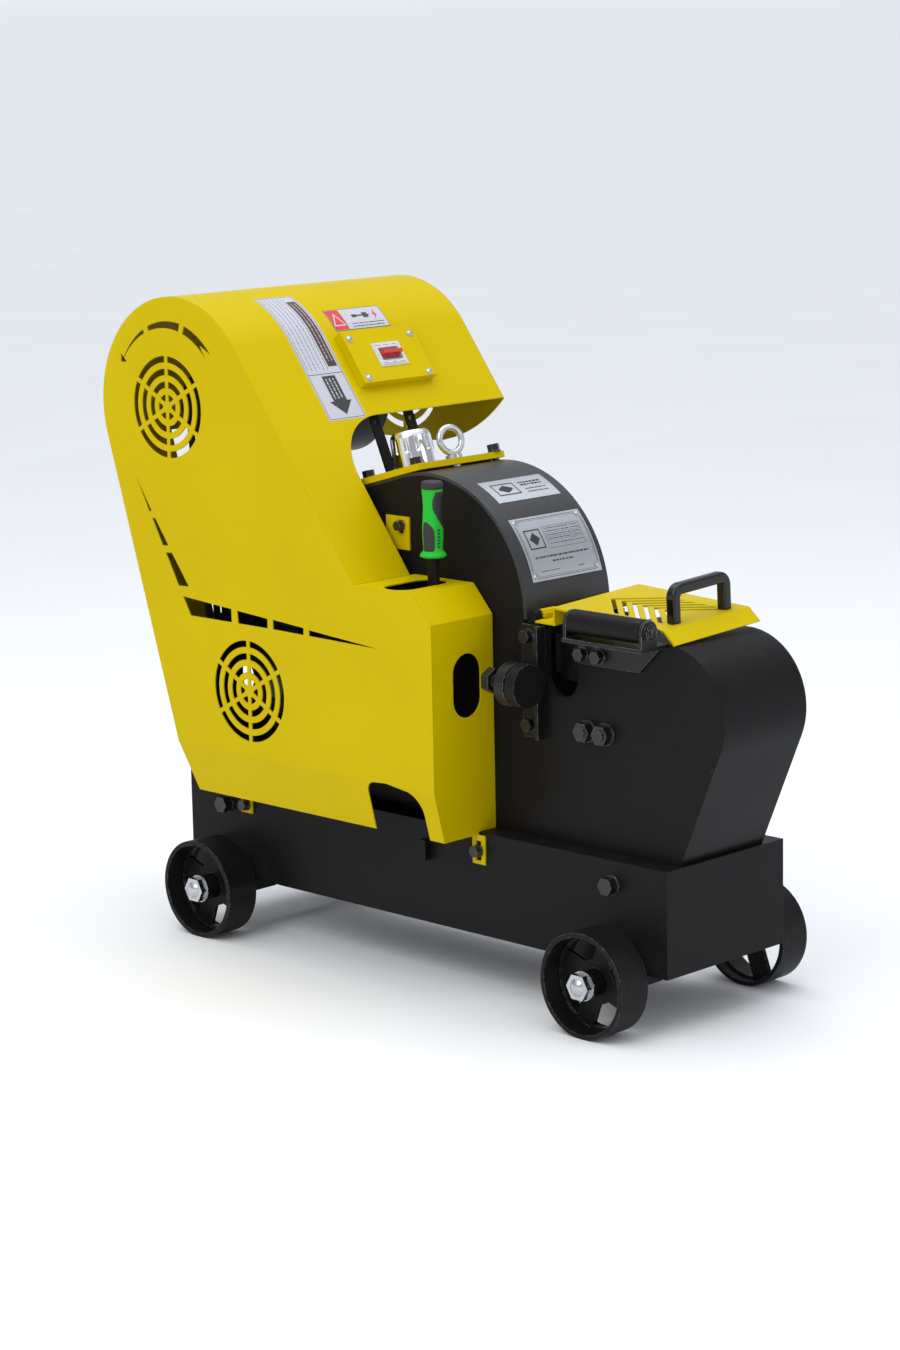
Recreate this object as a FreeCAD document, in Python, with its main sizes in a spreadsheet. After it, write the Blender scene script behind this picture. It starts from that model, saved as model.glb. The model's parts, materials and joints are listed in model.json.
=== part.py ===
import FreeCAD, Part
import math
import os
import re
import Sketcher
from FreeCAD import Placement, Rotation, Vector

# Rebar cutter: a wheeled base carries a gearbox, a shear nose and a belt-driven motor under a hood.
# X runs along the machine towards the nose, Y across it, Z up.  The driving dimensions are measured
# from the middle of the base at floor level; every sub-part is then shifted so that the origin lies
# under the middle of the whole machine.

SIZES = {
    # base and wheels
    "base_length": 1030, "base_half_width": 131, "base_bottom": 89, "base_top": 249,
    "channel_flange": 65, "channel_web": 8, "channel_lip": 10, "end_plate": 10,
    "wheel_radius": 79, "wheel_width": 57, "wheel_rim": 7, "wheel_face": 210, "wheel_web": 6,
    "wheel_hub": 20, "spoke_width": 34, "spoke_turn": 20, "axle_radius": 12,
    "axle_x": 418, "saddle_length": 60,
    # gearbox housing
    "body_half_width": 92, "side_plate": 12, "gearbox_back": -340, "gearbox_front": 240,
    "back_knee": 560, "arch_x": 8, "arch_z": 575, "arch_radius": 202, "arch_sheet": 5,
    "deck_tilt": 15.35, "deck_back": -193, "deck_plate": 10, "pan_sheet": 8,
    "cap_radius": 35.5, "cap_height": 59, "cap_taper": 3.5, "cap_place": -60.5, "eye_place": 24.7,
    "eye_radius": 19.7, "eye_bar": 5, "eye_height": 29.3, "eye_turn": 78, "front_top": 570,
    "flute_low": 29, "flute_length": 18, "flute_radius": 5.2,
    # nose and cutting head
    "nose_x": 483, "nose_z": 463.5, "nose_radius": 106.5, "nose_tilt": 23.2, "nose_sheet": 5,
    "slot_left": 248, "slot_right": 312, "slot_bottom": 467, "blade_middle": 520,
    "blade_height": 80, "blade_thick": 22, "shear_plane": -15, "blade_gap": 36,
    "fixed_blade_face": 294, "seat_length": 120, "ram_back": 128, "ram_front": 226,
    "ram_height": 60, "ram_half_width": 30, "guide_height": 48, "tie_bolt": 9,
    # crank, gears and shafts
    "crank_x": 8, "crank_z": 560, "crank_throw": 20, "crank_radius": 25, "cam_radius": 46,
    "window_radius": 50.7, "rod_thick": 26, "pin_radius": 14, "pin_x": 150,
    "input_x": -256, "input_z": 427, "input_radius": 18, "middle_radius": 20,
    "first_module": 4, "first_pinion_teeth": 16, "first_gear_teeth": 59,
    "second_module": 5, "second_pinion_teeth": 18, "second_gear_teeth": 68,
    "bearing_wall": 16, "running_gap": 0.05,
    # belt drive and motor
    "motor_x": -414, "motor_z": 858, "motor_radius": 104, "motor_front": -20, "motor_back": 145,
    "motor_shaft": 19, "strut_width": 20, "pulley_large": 165, "pulley_small": 50, "pulley_face": -168,
    "pulley_width": 56, "groove_pitch": 17, "groove_depth": 12, "groove_width": 13,
    "belt_thick": 9, "stand_back": -480, "stand_front": -352, "stand_plate": 10, "bed_top": 740,
    "stand_near": -84, "stand_far": 70,
    # hood
    "hood_near": -225, "hood_far": 280, "hood_sheet": 2, "hood_x": -414, "hood_z": 858,
    "hood_radius": 174, "slope_normal": 36.76, "back_tilt": 17.03, "fold_height": 325,
    "hood_foot": 245, "fold_inset": 20, "guard_inner": -95, "notch_start": 148, "notch_inner": -106,
    "notch_radius": 100, "back_wrap_end": 800, "pocket_top": 620, "pocket_edge": 105,
    "pocket_front": 143, "pocket_shoulder": 577, "far_panel_foot": 762,
    "grille_upper_x": -432, "grille_upper_z": 859, "grille_lower_x": -260, "grille_lower_z": 427,
    "grille_step": 20, "grille_bridge": 7, "arrow_radius": 123.5, "arrow_arc": 134,
    # switch box on the hood slope, measured down the slope from where it leaves the round top
    "box_start": 4, "box_end": 99, "box_left": -12, "box_right": 145, "box_height": 15,
    "breaker_start": 31, "breaker_end": 74, "breaker_left": 38, "breaker_right": 98,
    # cable inlet in the rear end plate
    "gland_thread": 10, "gland_bore": 6.5,
    # clutch lever
    "lever_x": 66, "lever_y": -140, "lever_pivot": 500, "lever_width": 17, "lever_thick": 9,
    "grip_bottom": 660, "grip_top": 775, "grip_radius": 15.2, "clutch_rod": 9,
    "slot_x": 50, "slot_radius": 27,
    # bar stop
    "stop_y": -145, "stop_z": 489, "stop_radius": 33, "stop_ring_back": 223, "stop_ring_front": 241.5,
    "stop_pad_back": 244.5, "stop_pad_front": 263.2, "stop_screw": 10,
    # support roller
    "roller_y": -132, "roller_z": 593.4, "roller_radius": 18, "roller_back": 342, "roller_front": 480,
    "roller_axle": 6, "roller_ear": 5, "skirt_back": 317, "skirt_front": 473, "skirt_bottom": 523.5,
    # vented cover with its handle
    "cover_hinge_x": 222, "cover_hinge_z": 584, "cover_low": 577.5, "cover_step": 267,
    "cover_high": 605, "cover_fold": 480, "cover_fold_z": 594.5, "cover_lip": 502,
    "cover_lip_z": 573.8, "cover_roll": 2.8, "cover_sheet": 3, "cover_half_width": 95, "chevron_start": 296,
    "chevron_pitch": 21, "chevron_width": 9, "chevron_reach": 62,
    "handle_x": 462, "handle_y": 5, "handle_half_span": 56, "handle_height": 48, "handle_bar": 17,
}

doc = FreeCAD.newDocument("RebarCutter")
sheet = doc.addObject("Spreadsheet::Sheet", "Sizes")
for row, (alias, number) in enumerate(SIZES.items(), start=1):
    sheet.set(f"A{row}", alias)
    sheet.set(f"B{row}", str(number))
    sheet.setAlias(f"B{row}", alias)
doc.recompute()

CENTRE = (
    "(nose_x + nose_radius + hood_x - hood_radius) / 2",
    "(hood_near + hood_far) / 2",
    "0",
)
nodes = []
spots = {}


# ---------------------------------------------------------------- helpers
def rule(text):
    """Turn a formula written with plain size names into an expression on the sheet."""
    def named(match):
        word = match.group()
        return "Sizes." + word if word in SIZES else word
    return re.sub(r"[a-z_]+", named, str(text))


def value(text):
    return float(sheet.evalExpression(rule(text)))


def place(thing, at, axis=None, angle="0"):
    """Bind a placement to the sheet: a point, and a turn about an axis."""
    if axis:
        thing.Placement = Placement(Vector(), Rotation(Vector(*axis), 1))
        thing.setExpression("Placement.Rotation.Angle", rule(angle))
    for name, text in zip("xyz", at):
        thing.setExpression(f"Placement.Base.{name}", rule(text))
    spots[thing.Name] = at
    return thing


def node(thing, name, at=None):
    """Give a finished sub-part its name, and shift it from the base's middle to the origin."""
    thing.Label = name
    at = at or spots.get(thing.Name, ("0", "0", "0"))
    for letter, text, centre in zip("xyz", at, CENTRE):
        thing.setExpression(f"Placement.Base.{letter}", rule(f"{text} - {centre}"))
    nodes.append(thing)
    return thing


def box(low, high):
    """A block between two corners."""
    block = doc.addObject("Part::Box", "Block")
    for side, start, end in zip(("Length", "Width", "Height"), low, high):
        block.setExpression(side, rule(f"({end}) - ({start})"))
    return place(block, low)


def rod(start, direction, radius, length):
    """A cylinder from a point, along a direction."""
    bar = doc.addObject("Part::Cylinder", "Rod")
    bar.setExpression("Radius", rule(radius))
    bar.setExpression("Height", rule(length))
    bar.Placement = Placement(Vector(), Rotation(Vector(0, 0, 1), Vector(*direction)))
    return place(bar, start)


def ball(at, radius):
    sphere = doc.addObject("Part::Sphere", "Ball")
    sphere.setExpression("Radius", rule(radius))
    return place(sphere, at)


def hexagon(start, direction, across_flats, length):
    prism = doc.addObject("Part::Prism", "Hexagon")
    prism.Polygon = 6
    prism.setExpression("Circumradius", rule(f"({across_flats}) / 2 / cos(30)"))
    prism.setExpression("Height", rule(length))
    prism.Placement = Placement(Vector(), Rotation(Vector(0, 0, 1), Vector(*direction)))
    return place(prism, start)


def fuse(*parts):
    if len(parts) == 1:
        return parts[0]
    joined = doc.addObject("Part::MultiFuse", "Joined")
    joined.Shapes = list(parts)
    return joined


def cut(base, *tools):
    opened = doc.addObject("Part::Cut", "Opened")
    opened.Base = base
    opened.Tool = fuse(*tools)
    return opened


def group(*parts):
    """Separate solids that share one node."""
    together = doc.addObject("Part::Compound", "Group")
    together.Links = list(parts)
    return together


def ring(start, direction, outer, inner, length):
    return cut(rod(start, direction, outer, length), rod(start, direction, inner, length))


def sketch_on(body, plane):
    sketch = body.newObject("Sketcher::SketchObject", body.Name + "Sketch")
    origin_plane = next(item for item in body.Origin.OriginFeatures if item.Role == plane)
    sketch.AttachmentSupport = [(origin_plane, "")]
    sketch.MapMode = "FlatFace"
    return sketch


def draw(sketch, outline):
    """Draw a closed outline and bind every corner to the sheet.

    A corner is (across, up) or (across, up, radius).  A radius makes the run to the next corner an
    arc, anticlockwise when it is positive and clockwise when it has a minus sign in front.
    """
    corners = [Vector(value(corner[0]), value(corner[1]), 0) for corner in outline]
    first = sketch.GeometryCount
    starts = []
    ends = []
    for index, corner in enumerate(outline):
        start = corners[index]
        end = corners[(index + 1) % len(corners)]
        if len(corner) == 2:
            sketch.addGeometry(Part.LineSegment(start, end), False)
            starts.append((first + index, 1))
            ends.append((first + index, 2))
            continue
        clockwise = corner[2].startswith("-")
        radius = value(corner[2].lstrip("-"))
        if clockwise:
            start, end = end, start
        half = (end - start) * 0.5
        height = math.sqrt(max(radius ** 2 - half.Length ** 2, 0))
        middle = start + half + Vector(-half.y, half.x, 0).normalize() * height
        circle = Part.Circle(middle, Vector(0, 0, 1), radius)
        arc = Part.ArcOfCircle(circle, circle.parameter(start), circle.parameter(end))
        sketch.addGeometry(arc, False)
        starts.append((first + index, 2 if clockwise else 1))
        ends.append((first + index, 1 if clockwise else 2))
        bind(sketch, "Radius", (first + index,), corner[2].lstrip("-"))
    for index, corner in enumerate(outline):
        following = starts[(index + 1) % len(starts)]
        sketch.addConstraint(Sketcher.Constraint("Coincident", *ends[index], *following))
        bind(sketch, "DistanceX", (-1, 1, *starts[index]), corner[0])
        bind(sketch, "DistanceY", (-1, 1, *starts[index]), corner[1])


def bind(sketch, kind, where, text):
    index = sketch.addConstraint(Sketcher.Constraint(kind, *where, value(text)))
    sketch.setExpression(f"Constraints[{index}]", rule(text))


def plate(outline, low, high, plane="XZ_Plane"):
    """A flat plate: an outline in the plane, padded from one level to another across it."""
    body = doc.addObject("PartDesign::Body", "Plate")
    sketch = sketch_on(body, plane)
    draw(sketch, outline)
    pad = body.newObject("PartDesign::Pad", "Pad")
    pad.Profile = sketch
    pad.setExpression("Length", rule(f"({high}) - ({low})"))
    level = {"XZ_Plane": 1, "YZ_Plane": 0, "XY_Plane": 2}[plane]
    at = ["0", "0", "0"]
    at[level] = low
    pad.Reversed = plane == "XZ_Plane"
    return place(body, at)


def turned(outline, plane="YZ_Plane", axis="H_Axis"):
    """A turned piece: a half profile spun about an axis of its sketch."""
    body = doc.addObject("PartDesign::Body", "Turned")
    sketch = sketch_on(body, plane)
    draw(sketch, outline)
    spin = body.newObject("PartDesign::Revolution", "Revolution")
    spin.Profile = sketch
    spin.ReferenceAxis = (sketch, [axis])
    spin.Angle = 360
    return body


def polar(centre, radius, angle):
    """A point on a circle, with the angle anticlockwise from +X."""
    return (f"{centre[0]} + ({radius}) * cos({angle})", f"{centre[1]} + ({radius}) * sin({angle})")


def bolt(at, direction, across_flats, length, head="across / 1.6"):
    """A hex bolt with its washer: the head stands out along the direction, the shank goes in."""
    outward = Vector(*direction)
    depth = head.replace("across", str(across_flats))
    washer = rod(at, direction, f"{across_flats} * 0.62", "2")
    out = [f"{text} + 2 * ({part})" for text, part in zip(at, outward)]
    top = hexagon(out, direction, across_flats, depth)
    shank = rod(at, tuple(-outward), f"{across_flats} / 3.2", length)
    return fuse(washer, top, shank)


def stud(at, direction, across_flats, reach):
    """A through stud's outer end: washer, nut and a stretch of thread."""
    outward = Vector(*direction)
    washer = rod(at, direction, f"{across_flats} * 0.62", "2")
    out = [f"{text} + 2 * ({part})" for text, part in zip(at, outward)]
    nut = hexagon(out, direction, across_flats, f"{across_flats} * 0.55")
    thread = rod(at, direction, f"{across_flats} / 3", reach)
    return fuse(washer, nut, thread)


# ---------------------------------------------------------------- base
def channel(side):
    edge = f"{side} * base_half_width"
    web = f"{side} * (base_half_width - channel_web)"
    lip = f"{side} * (base_half_width - channel_flange)"
    outline = [
        (edge, "base_bottom"), (lip, "base_bottom"), (lip, "base_bottom + channel_lip"),
        (web, "base_bottom + channel_lip"), (web, "base_top - channel_lip"),
        (lip, "base_top - channel_lip"), (lip, "base_top"), (edge, "base_top"),
    ]
    reach = "base_length / 2 - end_plate"
    return plate(outline, f"-({reach})", reach, "YZ_Plane")


BASE_BOLTS = (("-426", "206"), ("410", "213"))
HOOD_BASE_BOLTS = (("-377", "212"), ("144", "221"))


def base_holes(side):
    holes = []
    for along, up in BASE_BOLTS + (HOOD_BASE_BOLTS if side < 0 else ()):
        radius = "7.5" if (along, up) in BASE_BOLTS else "5"
        holes.append(rod((along, f"{side} * 150", up), (0, -side, 0), radius, "40"))
    return holes


foot_tab = box(("29", "-base_half_width - 14", "190"), ("41", "-base_half_width + 1", "222"))
near_channel = cut(fuse(channel(-1), foot_tab), *base_holes(-1))
node(group(near_channel, cut(channel(1), *base_holes(1))), "base_channels")

end_plates = []
for end in (-1, 1):
    near_face = f"{end} * base_length / 2 - {max(end, 0)} * end_plate"
    end_plates.append(box(
        (near_face, "-base_half_width", "base_bottom"),
        (f"{near_face} + end_plate", "base_half_width", "base_top"),
    ))
gland_hole = rod(("-base_length / 2 - 5", "60", "185"), (1, 0, 0), "gland_thread", "30")
node(group(cut(end_plates[0], gland_hole), end_plates[1]), "base_end_plates")


def axle(along):
    """A wheel axle with welded collars, flattened where it lies under the channels."""
    reach = "wheel_face + 5"
    bar = rod((along, f"-({reach})", "wheel_radius"), (0, 1, 0), "axle_radius", f"2 * ({reach})")
    collars = [
        rod((along, f"{side} * 144", "wheel_radius"), (0, side, 0), "axle_radius + 5", "5")
        for side in (-1, 1)
    ]
    reach = "axle_radius + 4"
    flat = box(
        (f"{along} - ({reach})", "-base_half_width - 3", "base_bottom"),
        (f"{along} + {reach}", "base_half_width + 3", "base_bottom + 20"),
    )
    return cut(fuse(bar, *collars), flat)


def saddle(along, side):
    outer = f"{side} * base_half_width"
    inner = f"{side} * (base_half_width - channel_flange)"
    low, high = (outer, inner) if side < 0 else (inner, outer)
    block = box(
        (f"{along} - saddle_length / 2", low, "base_bottom - 27"),
        (f"{along} + saddle_length / 2", high, "base_bottom"),
    )
    return cut(block, rod((along, low, "wheel_radius"), (0, 1, 0), "axle_radius", "channel_flange"))


axles = [axle("-axle_x"), axle("axle_x")]
saddles = [saddle(along, side) for along in ("-axle_x", "axle_x") for side in (-1, 1)]
node(group(*axles, *saddles), "wheel_axles")


def wheel():
    """A cast wheel: plain rim, recessed four-spoke web and long hub, turned about Y."""
    face = "wheel_width / 2"
    rim = "wheel_radius - wheel_rim"
    bore = "axle_radius + 0.1"
    outline = [
        (f"7 - {face}", bore), (f"7 - {face}", "wheel_hub"), ("5.5", "wheel_hub"), ("5.5", rim),
        (f"-{face}", rim), (f"-{face}", "wheel_radius"), (face, "wheel_radius"), (face, rim),
        ("5.5 + wheel_web", rim), ("5.5 + wheel_web", "wheel_hub"),
        (f"{face} + 3", "wheel_hub"), (f"{face} + 3", bore),
    ]
    solid = turned(outline)
    openings = ring(("0", "0", "0"), (0, 1, 0), f"{rim} - 4", "wheel_hub + 14", "30")
    spokes = [
        box(("-spoke_width / 2", "-1", "-wheel_radius"), ("spoke_width / 2", "31", "wheel_radius")),
        box(("-wheel_radius", "-1", "-spoke_width / 2"), ("wheel_radius", "31", "spoke_width / 2")),
    ]
    return cut(solid, cut(openings, *spokes))


for end, end_name in ((-1, "rear"), (1, "front")):
    for side, side_name in ((-1, "near"), (1, "far")):
        cast = wheel()
        facing = Rotation(Vector(0, 0, 1), 0 if side < 0 else 180)
        cast.Placement = Placement(Vector(), facing * Rotation(Vector(0, 1, 0), value("spoke_turn")))
        spot = (f"{end} * axle_x", f"{side} * (wheel_face - wheel_width / 2)", "wheel_radius")
        node(cast, f"wheel_{end_name}_{side_name}", spot)


def dome_nut(along, side):
    """A dome nut with its washer, screwed on the end of an axle."""
    start = "wheel_face - 6.7"
    washer = ring(
        (along, f"{side} * ({start})", "wheel_radius"), (0, side, 0), "22", "axle_radius", "2.7"
    )
    seat = (along, f"{side} * ({start} + 2.7)", "wheel_radius")
    flats = hexagon(seat, (0, side, 0), "36", "12")
    dome = doc.addObject("Part::Sphere", "Dome")
    dome.Radius = 16.5
    place(dome, (along, f"{side} * ({start} + 4.7)", "wheel_radius"))
    inner = box(
        (f"{along} - 20", f"{side} * ({start} - 10.3) - 13", "wheel_radius - 20"),
        (f"{along} + 20", f"{side} * ({start} - 10.3) + 13", "wheel_radius + 20"),
    )
    bore = rod(seat, (0, side, 0), "axle_radius", "9")
    return [washer, cut(fuse(flats, dome), bore, inner)]


nuts = []
for along in ("-axle_x", "axle_x"):
    for side in (-1, 1):
        nuts += dome_nut(along, side)
node(group(*nuts), "wheel_nuts")

# ---------------------------------------------------------------- gear positions
first_distance = value("first_module * (first_pinion_teeth + first_gear_teeth) / 2")
second_distance = value("second_module * (second_pinion_teeth + second_gear_teeth) / 2")
INPUT = Vector(value("input_x"), 0, value("input_z"))
CRANK = Vector(value("crank_x"), 0, value("crank_z"))
span = CRANK - INPUT
along_span = (first_distance ** 2 - second_distance ** 2 + span.Length ** 2) / (2 * span.Length)
below_span = math.sqrt(first_distance ** 2 - along_span ** 2)
unit = span.normalize()
MIDDLE = INPUT + unit * along_span + Vector(unit.z, 0, -unit.x) * below_span
MIDDLE_X = str(round(MIDDLE.x, 6))
MIDDLE_Z = str(round(MIDDLE.z, 6))

# ---------------------------------------------------------------- gearbox housing
DECK_FOOT = ("arch_x - arch_radius * sin(deck_tilt)", "arch_z + arch_radius * cos(deck_tilt)")


def deck_point(distance, height):
    """A point up the tilted deck, at a distance along it and a height off it, in X and Z."""
    along = f"{DECK_FOOT[0]} + ({distance}) * cos(deck_tilt) - ({height}) * sin(deck_tilt)"
    up = f"{DECK_FOOT[1]} + ({distance}) * sin(deck_tilt) + ({height}) * cos(deck_tilt)"
    return (along, up)


DECK_RUN = f"(deck_back - ({DECK_FOOT[0]})) / cos(deck_tilt)"
ARCH = ("arch_x", "arch_z")


def shaft_holes():
    low = "-body_half_width - 10"
    return [
        rod(("input_x", low, "input_z"), (0, 1, 0), "input_radius + bearing_wall", "220"),
        rod((MIDDLE_X, low, MIDDLE_Z), (0, 1, 0), "middle_radius + bearing_wall", "220"),
        rod(("crank_x", low, "crank_z"), (0, 1, 0), "crank_radius + bearing_wall / 2", "220"),
    ]


def gearbox_side(low, high):
    inside = "arch_radius - arch_sheet"
    outline = [
        ("gearbox_back", "base_top"), ("gearbox_front", "base_top"), ("gearbox_front", "front_top"),
        (f"arch_x + {inside}", "front_top"), (f"arch_x + {inside}", "arch_z", inside),
        deck_point("0", "-arch_sheet"), deck_point(DECK_RUN, "-arch_sheet"), ("gearbox_back", "back_knee"),
    ]
    return cut(plate(outline, low, high), *shaft_holes())


node(gearbox_side("-body_half_width", "-body_half_width + side_plate"), "gearbox_side_near")
node(gearbox_side("body_half_width - side_plate", "body_half_width"), "gearbox_side_far")

CAP_SPOT = deck_point("cap_place", "0")
EYE_SPOT = deck_point("eye_place", "deck_plate")
TILT = (math.sin(math.radians(value("deck_tilt"))), math.cos(math.radians(value("deck_tilt"))))
DECK_UP = (-TILT[0], 0, TILT[1])
FLUTES = 12
DECK_BOLTS = (("5", "-62"), ("-104", "-62"), ("33", "80"), ("-104", "68"))

DECK_DOWN = (TILT[0], 0, -TILT[1])
deck_holes = []
for distance, across in DECK_BOLTS:
    above = deck_point(distance, "20")
    deck_holes.append(rod((above[0], across, above[1]), DECK_DOWN, "17 / 3.2", "40"))
neck_hole = rod((CAP_SPOT[0], "0", CAP_SPOT[1]), DECK_UP, "25", "40")
eye_hole = rod((EYE_SPOT[0], "0", EYE_SPOT[1]), DECK_DOWN, "8", "30")

arch_outline = [
    ("arch_x + arch_radius", "arch_z", "arch_radius"), DECK_FOOT, deck_point(DECK_RUN, "0"),
    deck_point(DECK_RUN, "-arch_sheet"),
    (*deck_point("0", "-arch_sheet"), "-(arch_radius - arch_sheet)"),
    ("arch_x + arch_radius - arch_sheet", "arch_z"),
]
arch_sheet = plate(arch_outline, "-body_half_width", "body_half_width")
filler_hole = rod((CAP_SPOT[0], "0", CAP_SPOT[1]), DECK_DOWN, "19", "30")
node(cut(arch_sheet, *deck_holes, filler_hole, eye_hole), "arch_cover")

deck_outline = [
    deck_point("-138", "0"), deck_point("39.6", "0"), deck_point("39.6", "deck_plate"),
    deck_point("-138", "deck_plate"),
]
node(
    cut(plate(deck_outline, "-94", "94"), *deck_holes, neck_hole, eye_hole), "gearbox_top_plate"
)

# The pan is one bent sheet: the oil-tight floor, the back wall and its slanted top.
slant = f"({deck_point(DECK_RUN, '-arch_sheet')[1]} - back_knee) / (deck_back - gearbox_back)"
lean = value(slant)
drop = f"pan_sheet * {math.sqrt(1 + lean ** 2):.5f}"
inner_knee = f"back_knee + pan_sheet * {lean:.5f} - {drop}"
deck_end = deck_point(DECK_RUN, "-arch_sheet")
pan_outline = [
    ("495", "base_top"), ("495", "base_top + pan_sheet"),
    ("gearbox_back + pan_sheet", "base_top + pan_sheet"), ("gearbox_back + pan_sheet", inner_knee),
    (deck_end[0], f"{deck_end[1]} - {drop}"), deck_end,
    ("gearbox_back", "back_knee"), ("gearbox_back", "base_top"),
]
inside_width = "body_half_width - side_plate"
node(plate(pan_outline, f"-({inside_width})", inside_width), "gearbox_pan")

neck = ring((CAP_SPOT[0], "0", CAP_SPOT[1]), DECK_UP, "25", "20", "deck_plate + 14")
node(neck, "filler_neck")


def filler_cap():
    """A fluted cap that drops over the neck; the flutes are blind grooves below its rounded rim."""
    profile = [
        ("0", "cap_height"), ("0", "cap_height - 6"), ("25.3", "cap_height - 6"), ("25.3", "0"),
        ("cap_radius", "0"), ("cap_radius - cap_taper", "cap_height - 9"),
        ("cap_radius - cap_taper - 1.5", "cap_height - 4"), ("cap_radius - cap_taper - 6", "cap_height"),
    ]
    solid = turned(profile, "XZ_Plane", "V_Axis")
    flutes = []
    for step in range(FLUTES):
        angle = step * 360 / FLUTES
        reach = "cap_radius + 1.2"
        across, along = f"({reach}) * cos({angle})", f"({reach}) * sin({angle})"
        flutes.append(rod((across, along, "flute_low"), (0, 0, 1), "flute_radius", "flute_length"))
        for level in ("flute_low", "flute_low + flute_length"):
            flutes.append(ball((across, along, level), "flute_radius"))
    return place(cut(solid, *flutes), ("0", "0", "0"), (0, 1, 0), "-deck_tilt")


cap_seat = deck_point("cap_place", "deck_plate + 0.3")
node(filler_cap(), "filler_cap", (cap_seat[0], "0", cap_seat[1]))


def lifting_eye():
    """An eyebolt; its ring has a short plain land inside, where a hook or shackle bears."""
    turn = math.radians(value("eye_turn"))
    through = Vector(-math.sin(turn), math.cos(turn), 0)
    eye = doc.addObject("Part::Torus", "Eye")
    eye.setExpression("Radius1", rule("eye_radius"))
    eye.setExpression("Radius2", rule("eye_bar"))
    eye.Placement = Placement(Vector(), Rotation(Vector(0, 0, 1), through))
    eye.setExpression("Placement.Base.z", rule("eye_height"))
    start = through * -10
    bore = rod((str(start.x), str(start.y), "eye_height"), tuple(through),
               "eye_radius - eye_bar + 0.8", "20")
    collar = rod(("0", "0", "0"), (0, 0, 1), "13", "6")
    shank = rod(("0", "0", "-deck_plate - arch_sheet"), (0, 0, 1), "8", "deck_plate + arch_sheet")
    return place(cut(fuse(eye, collar, shank), bore), ("0", "0", "0"), (0, 1, 0), "-deck_tilt")


node(lifting_eye(), "lifting_eye", (EYE_SPOT[0], "0", EYE_SPOT[1]))


def name_plate(start, end, low, high):
    """A thin plate bent round the arch between two angles above +X."""
    outer = "arch_radius + 1"
    outline = [
        (*polar(ARCH, outer, start), outer), polar(ARCH, outer, end),
        (*polar(ARCH, "arch_radius", end), "-arch_radius"), polar(ARCH, "arch_radius", start),
    ]
    return plate(outline, low, high)


upper_plate = name_plate("53.2", "68.2", "-62", "72.5")
lower_plate = name_plate("14.7", "43.7", "-70", "81.5")
node(group(upper_plate, lower_plate), "name_plates")

bearings = []
for side in (-1, 1):
    wall = f"{side} * (body_half_width - side_plate)"
    for spot, inner, outer in (
        (("input_x", "input_z"), "input_radius + running_gap", "input_radius + bearing_wall"),
        ((MIDDLE_X, MIDDLE_Z), "middle_radius + running_gap", "middle_radius + bearing_wall"),
        (("crank_x", "crank_z"), "crank_radius + running_gap", "crank_radius + bearing_wall / 2"),
    ):
        bearings.append(ring((spot[0], wall, spot[1]), (0, side, 0), outer, inner, "side_plate"))
node(group(*bearings), "shaft_bearings")

# ---------------------------------------------------------------- nose and cutting head
NOSE = ("nose_x", "nose_z")


def nose_point(inset):
    """Where the slanted front of the nose leaves the round, set in by a thickness."""
    return polar(NOSE, f"nose_radius - {inset}", "-nose_tilt")


def nose_foot(inset):
    along, up = nose_point(inset)
    return f"{along} - ({up} - base_top) * tan(nose_tilt)"


TIE_BOLTS = (("330", "423.5"), ("366", "423.5"))


def nose_side(low, high):
    outline = [
        ("gearbox_front", "base_top"), (nose_foot("nose_sheet"), "base_top"),
        (*nose_point("nose_sheet"), "nose_radius - nose_sheet"),
        ("nose_x", "nose_z + nose_radius - nose_sheet"),
        ("gearbox_front", "nose_z + nose_radius - nose_sheet"),
    ]
    middle = "(slot_left + slot_right) / 2"
    radius = "(slot_right - slot_left) / 2"
    start = f"{low} - 5"
    throat = box(("slot_left", start, f"slot_bottom + {radius}"), ("slot_right", f"{high} + 5", "620"))
    round_end = rod((middle, start, f"slot_bottom + {radius}"), (0, 1, 0), radius, "side_plate + 10")
    holes = [rod((along, start, up), (0, 1, 0), "tie_bolt", "side_plate + 10") for along, up in TIE_BOLTS]
    return cut(plate(outline, low, high), throat, round_end, *holes)


node(nose_side("-body_half_width", "-body_half_width + side_plate"), "nose_side_near")
node(nose_side("body_half_width - side_plate", "body_half_width"), "nose_side_far")

wrap_outline = [
    (nose_foot("0"), "base_top"), (*nose_point("0"), "nose_radius"),
    ("nose_x", "nose_z + nose_radius"), ("330", "nose_z + nose_radius"),
    ("330", "nose_z + nose_radius - nose_sheet"),
    ("nose_x", "nose_z + nose_radius - nose_sheet", "-(nose_radius - nose_sheet)"),
    nose_point("nose_sheet"), (nose_foot("nose_sheet"), "base_top"),
]
node(plate(wrap_outline, "-body_half_width", "body_half_width"), "nose_wrap")

seat = box(
    ("slot_right + 1", f"-({inside_width})", "400"),
    ("slot_right + 1 + seat_length", inside_width, "562"),
)
seat_holes = [rod((along, "-100", up), (0, 1, 0), "tie_bolt", "200") for along, up in TIE_BOLTS]
node(cut(seat, *seat_holes), "blade_seat")

blade_low = "blade_middle - blade_height / 2"
blade_high = "blade_middle + blade_height / 2"
fixed_blade = box(
    ("fixed_blade_face", "shear_plane", blade_low),
    ("slot_right + 1", "shear_plane + blade_thick", blade_high),
)
node(fixed_blade, "fixed_blade")

ties = [rod((along, "-body_half_width", up), (0, 1, 0), "tie_bolt", "2 * body_half_width")
        for along, up in TIE_BOLTS]
tie_ends = [
    stud((along, f"{side} * body_half_width", up), (0, side, 0), "27", "20")
    for along, up in TIE_BOLTS for side in (-1, 1)
]
tie_bolts = [fuse(ties[0], tie_ends[0], tie_ends[1]), fuse(ties[1], tie_ends[2], tie_ends[3])]
node(group(*tie_bolts), "head_tie_bolts")

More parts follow.
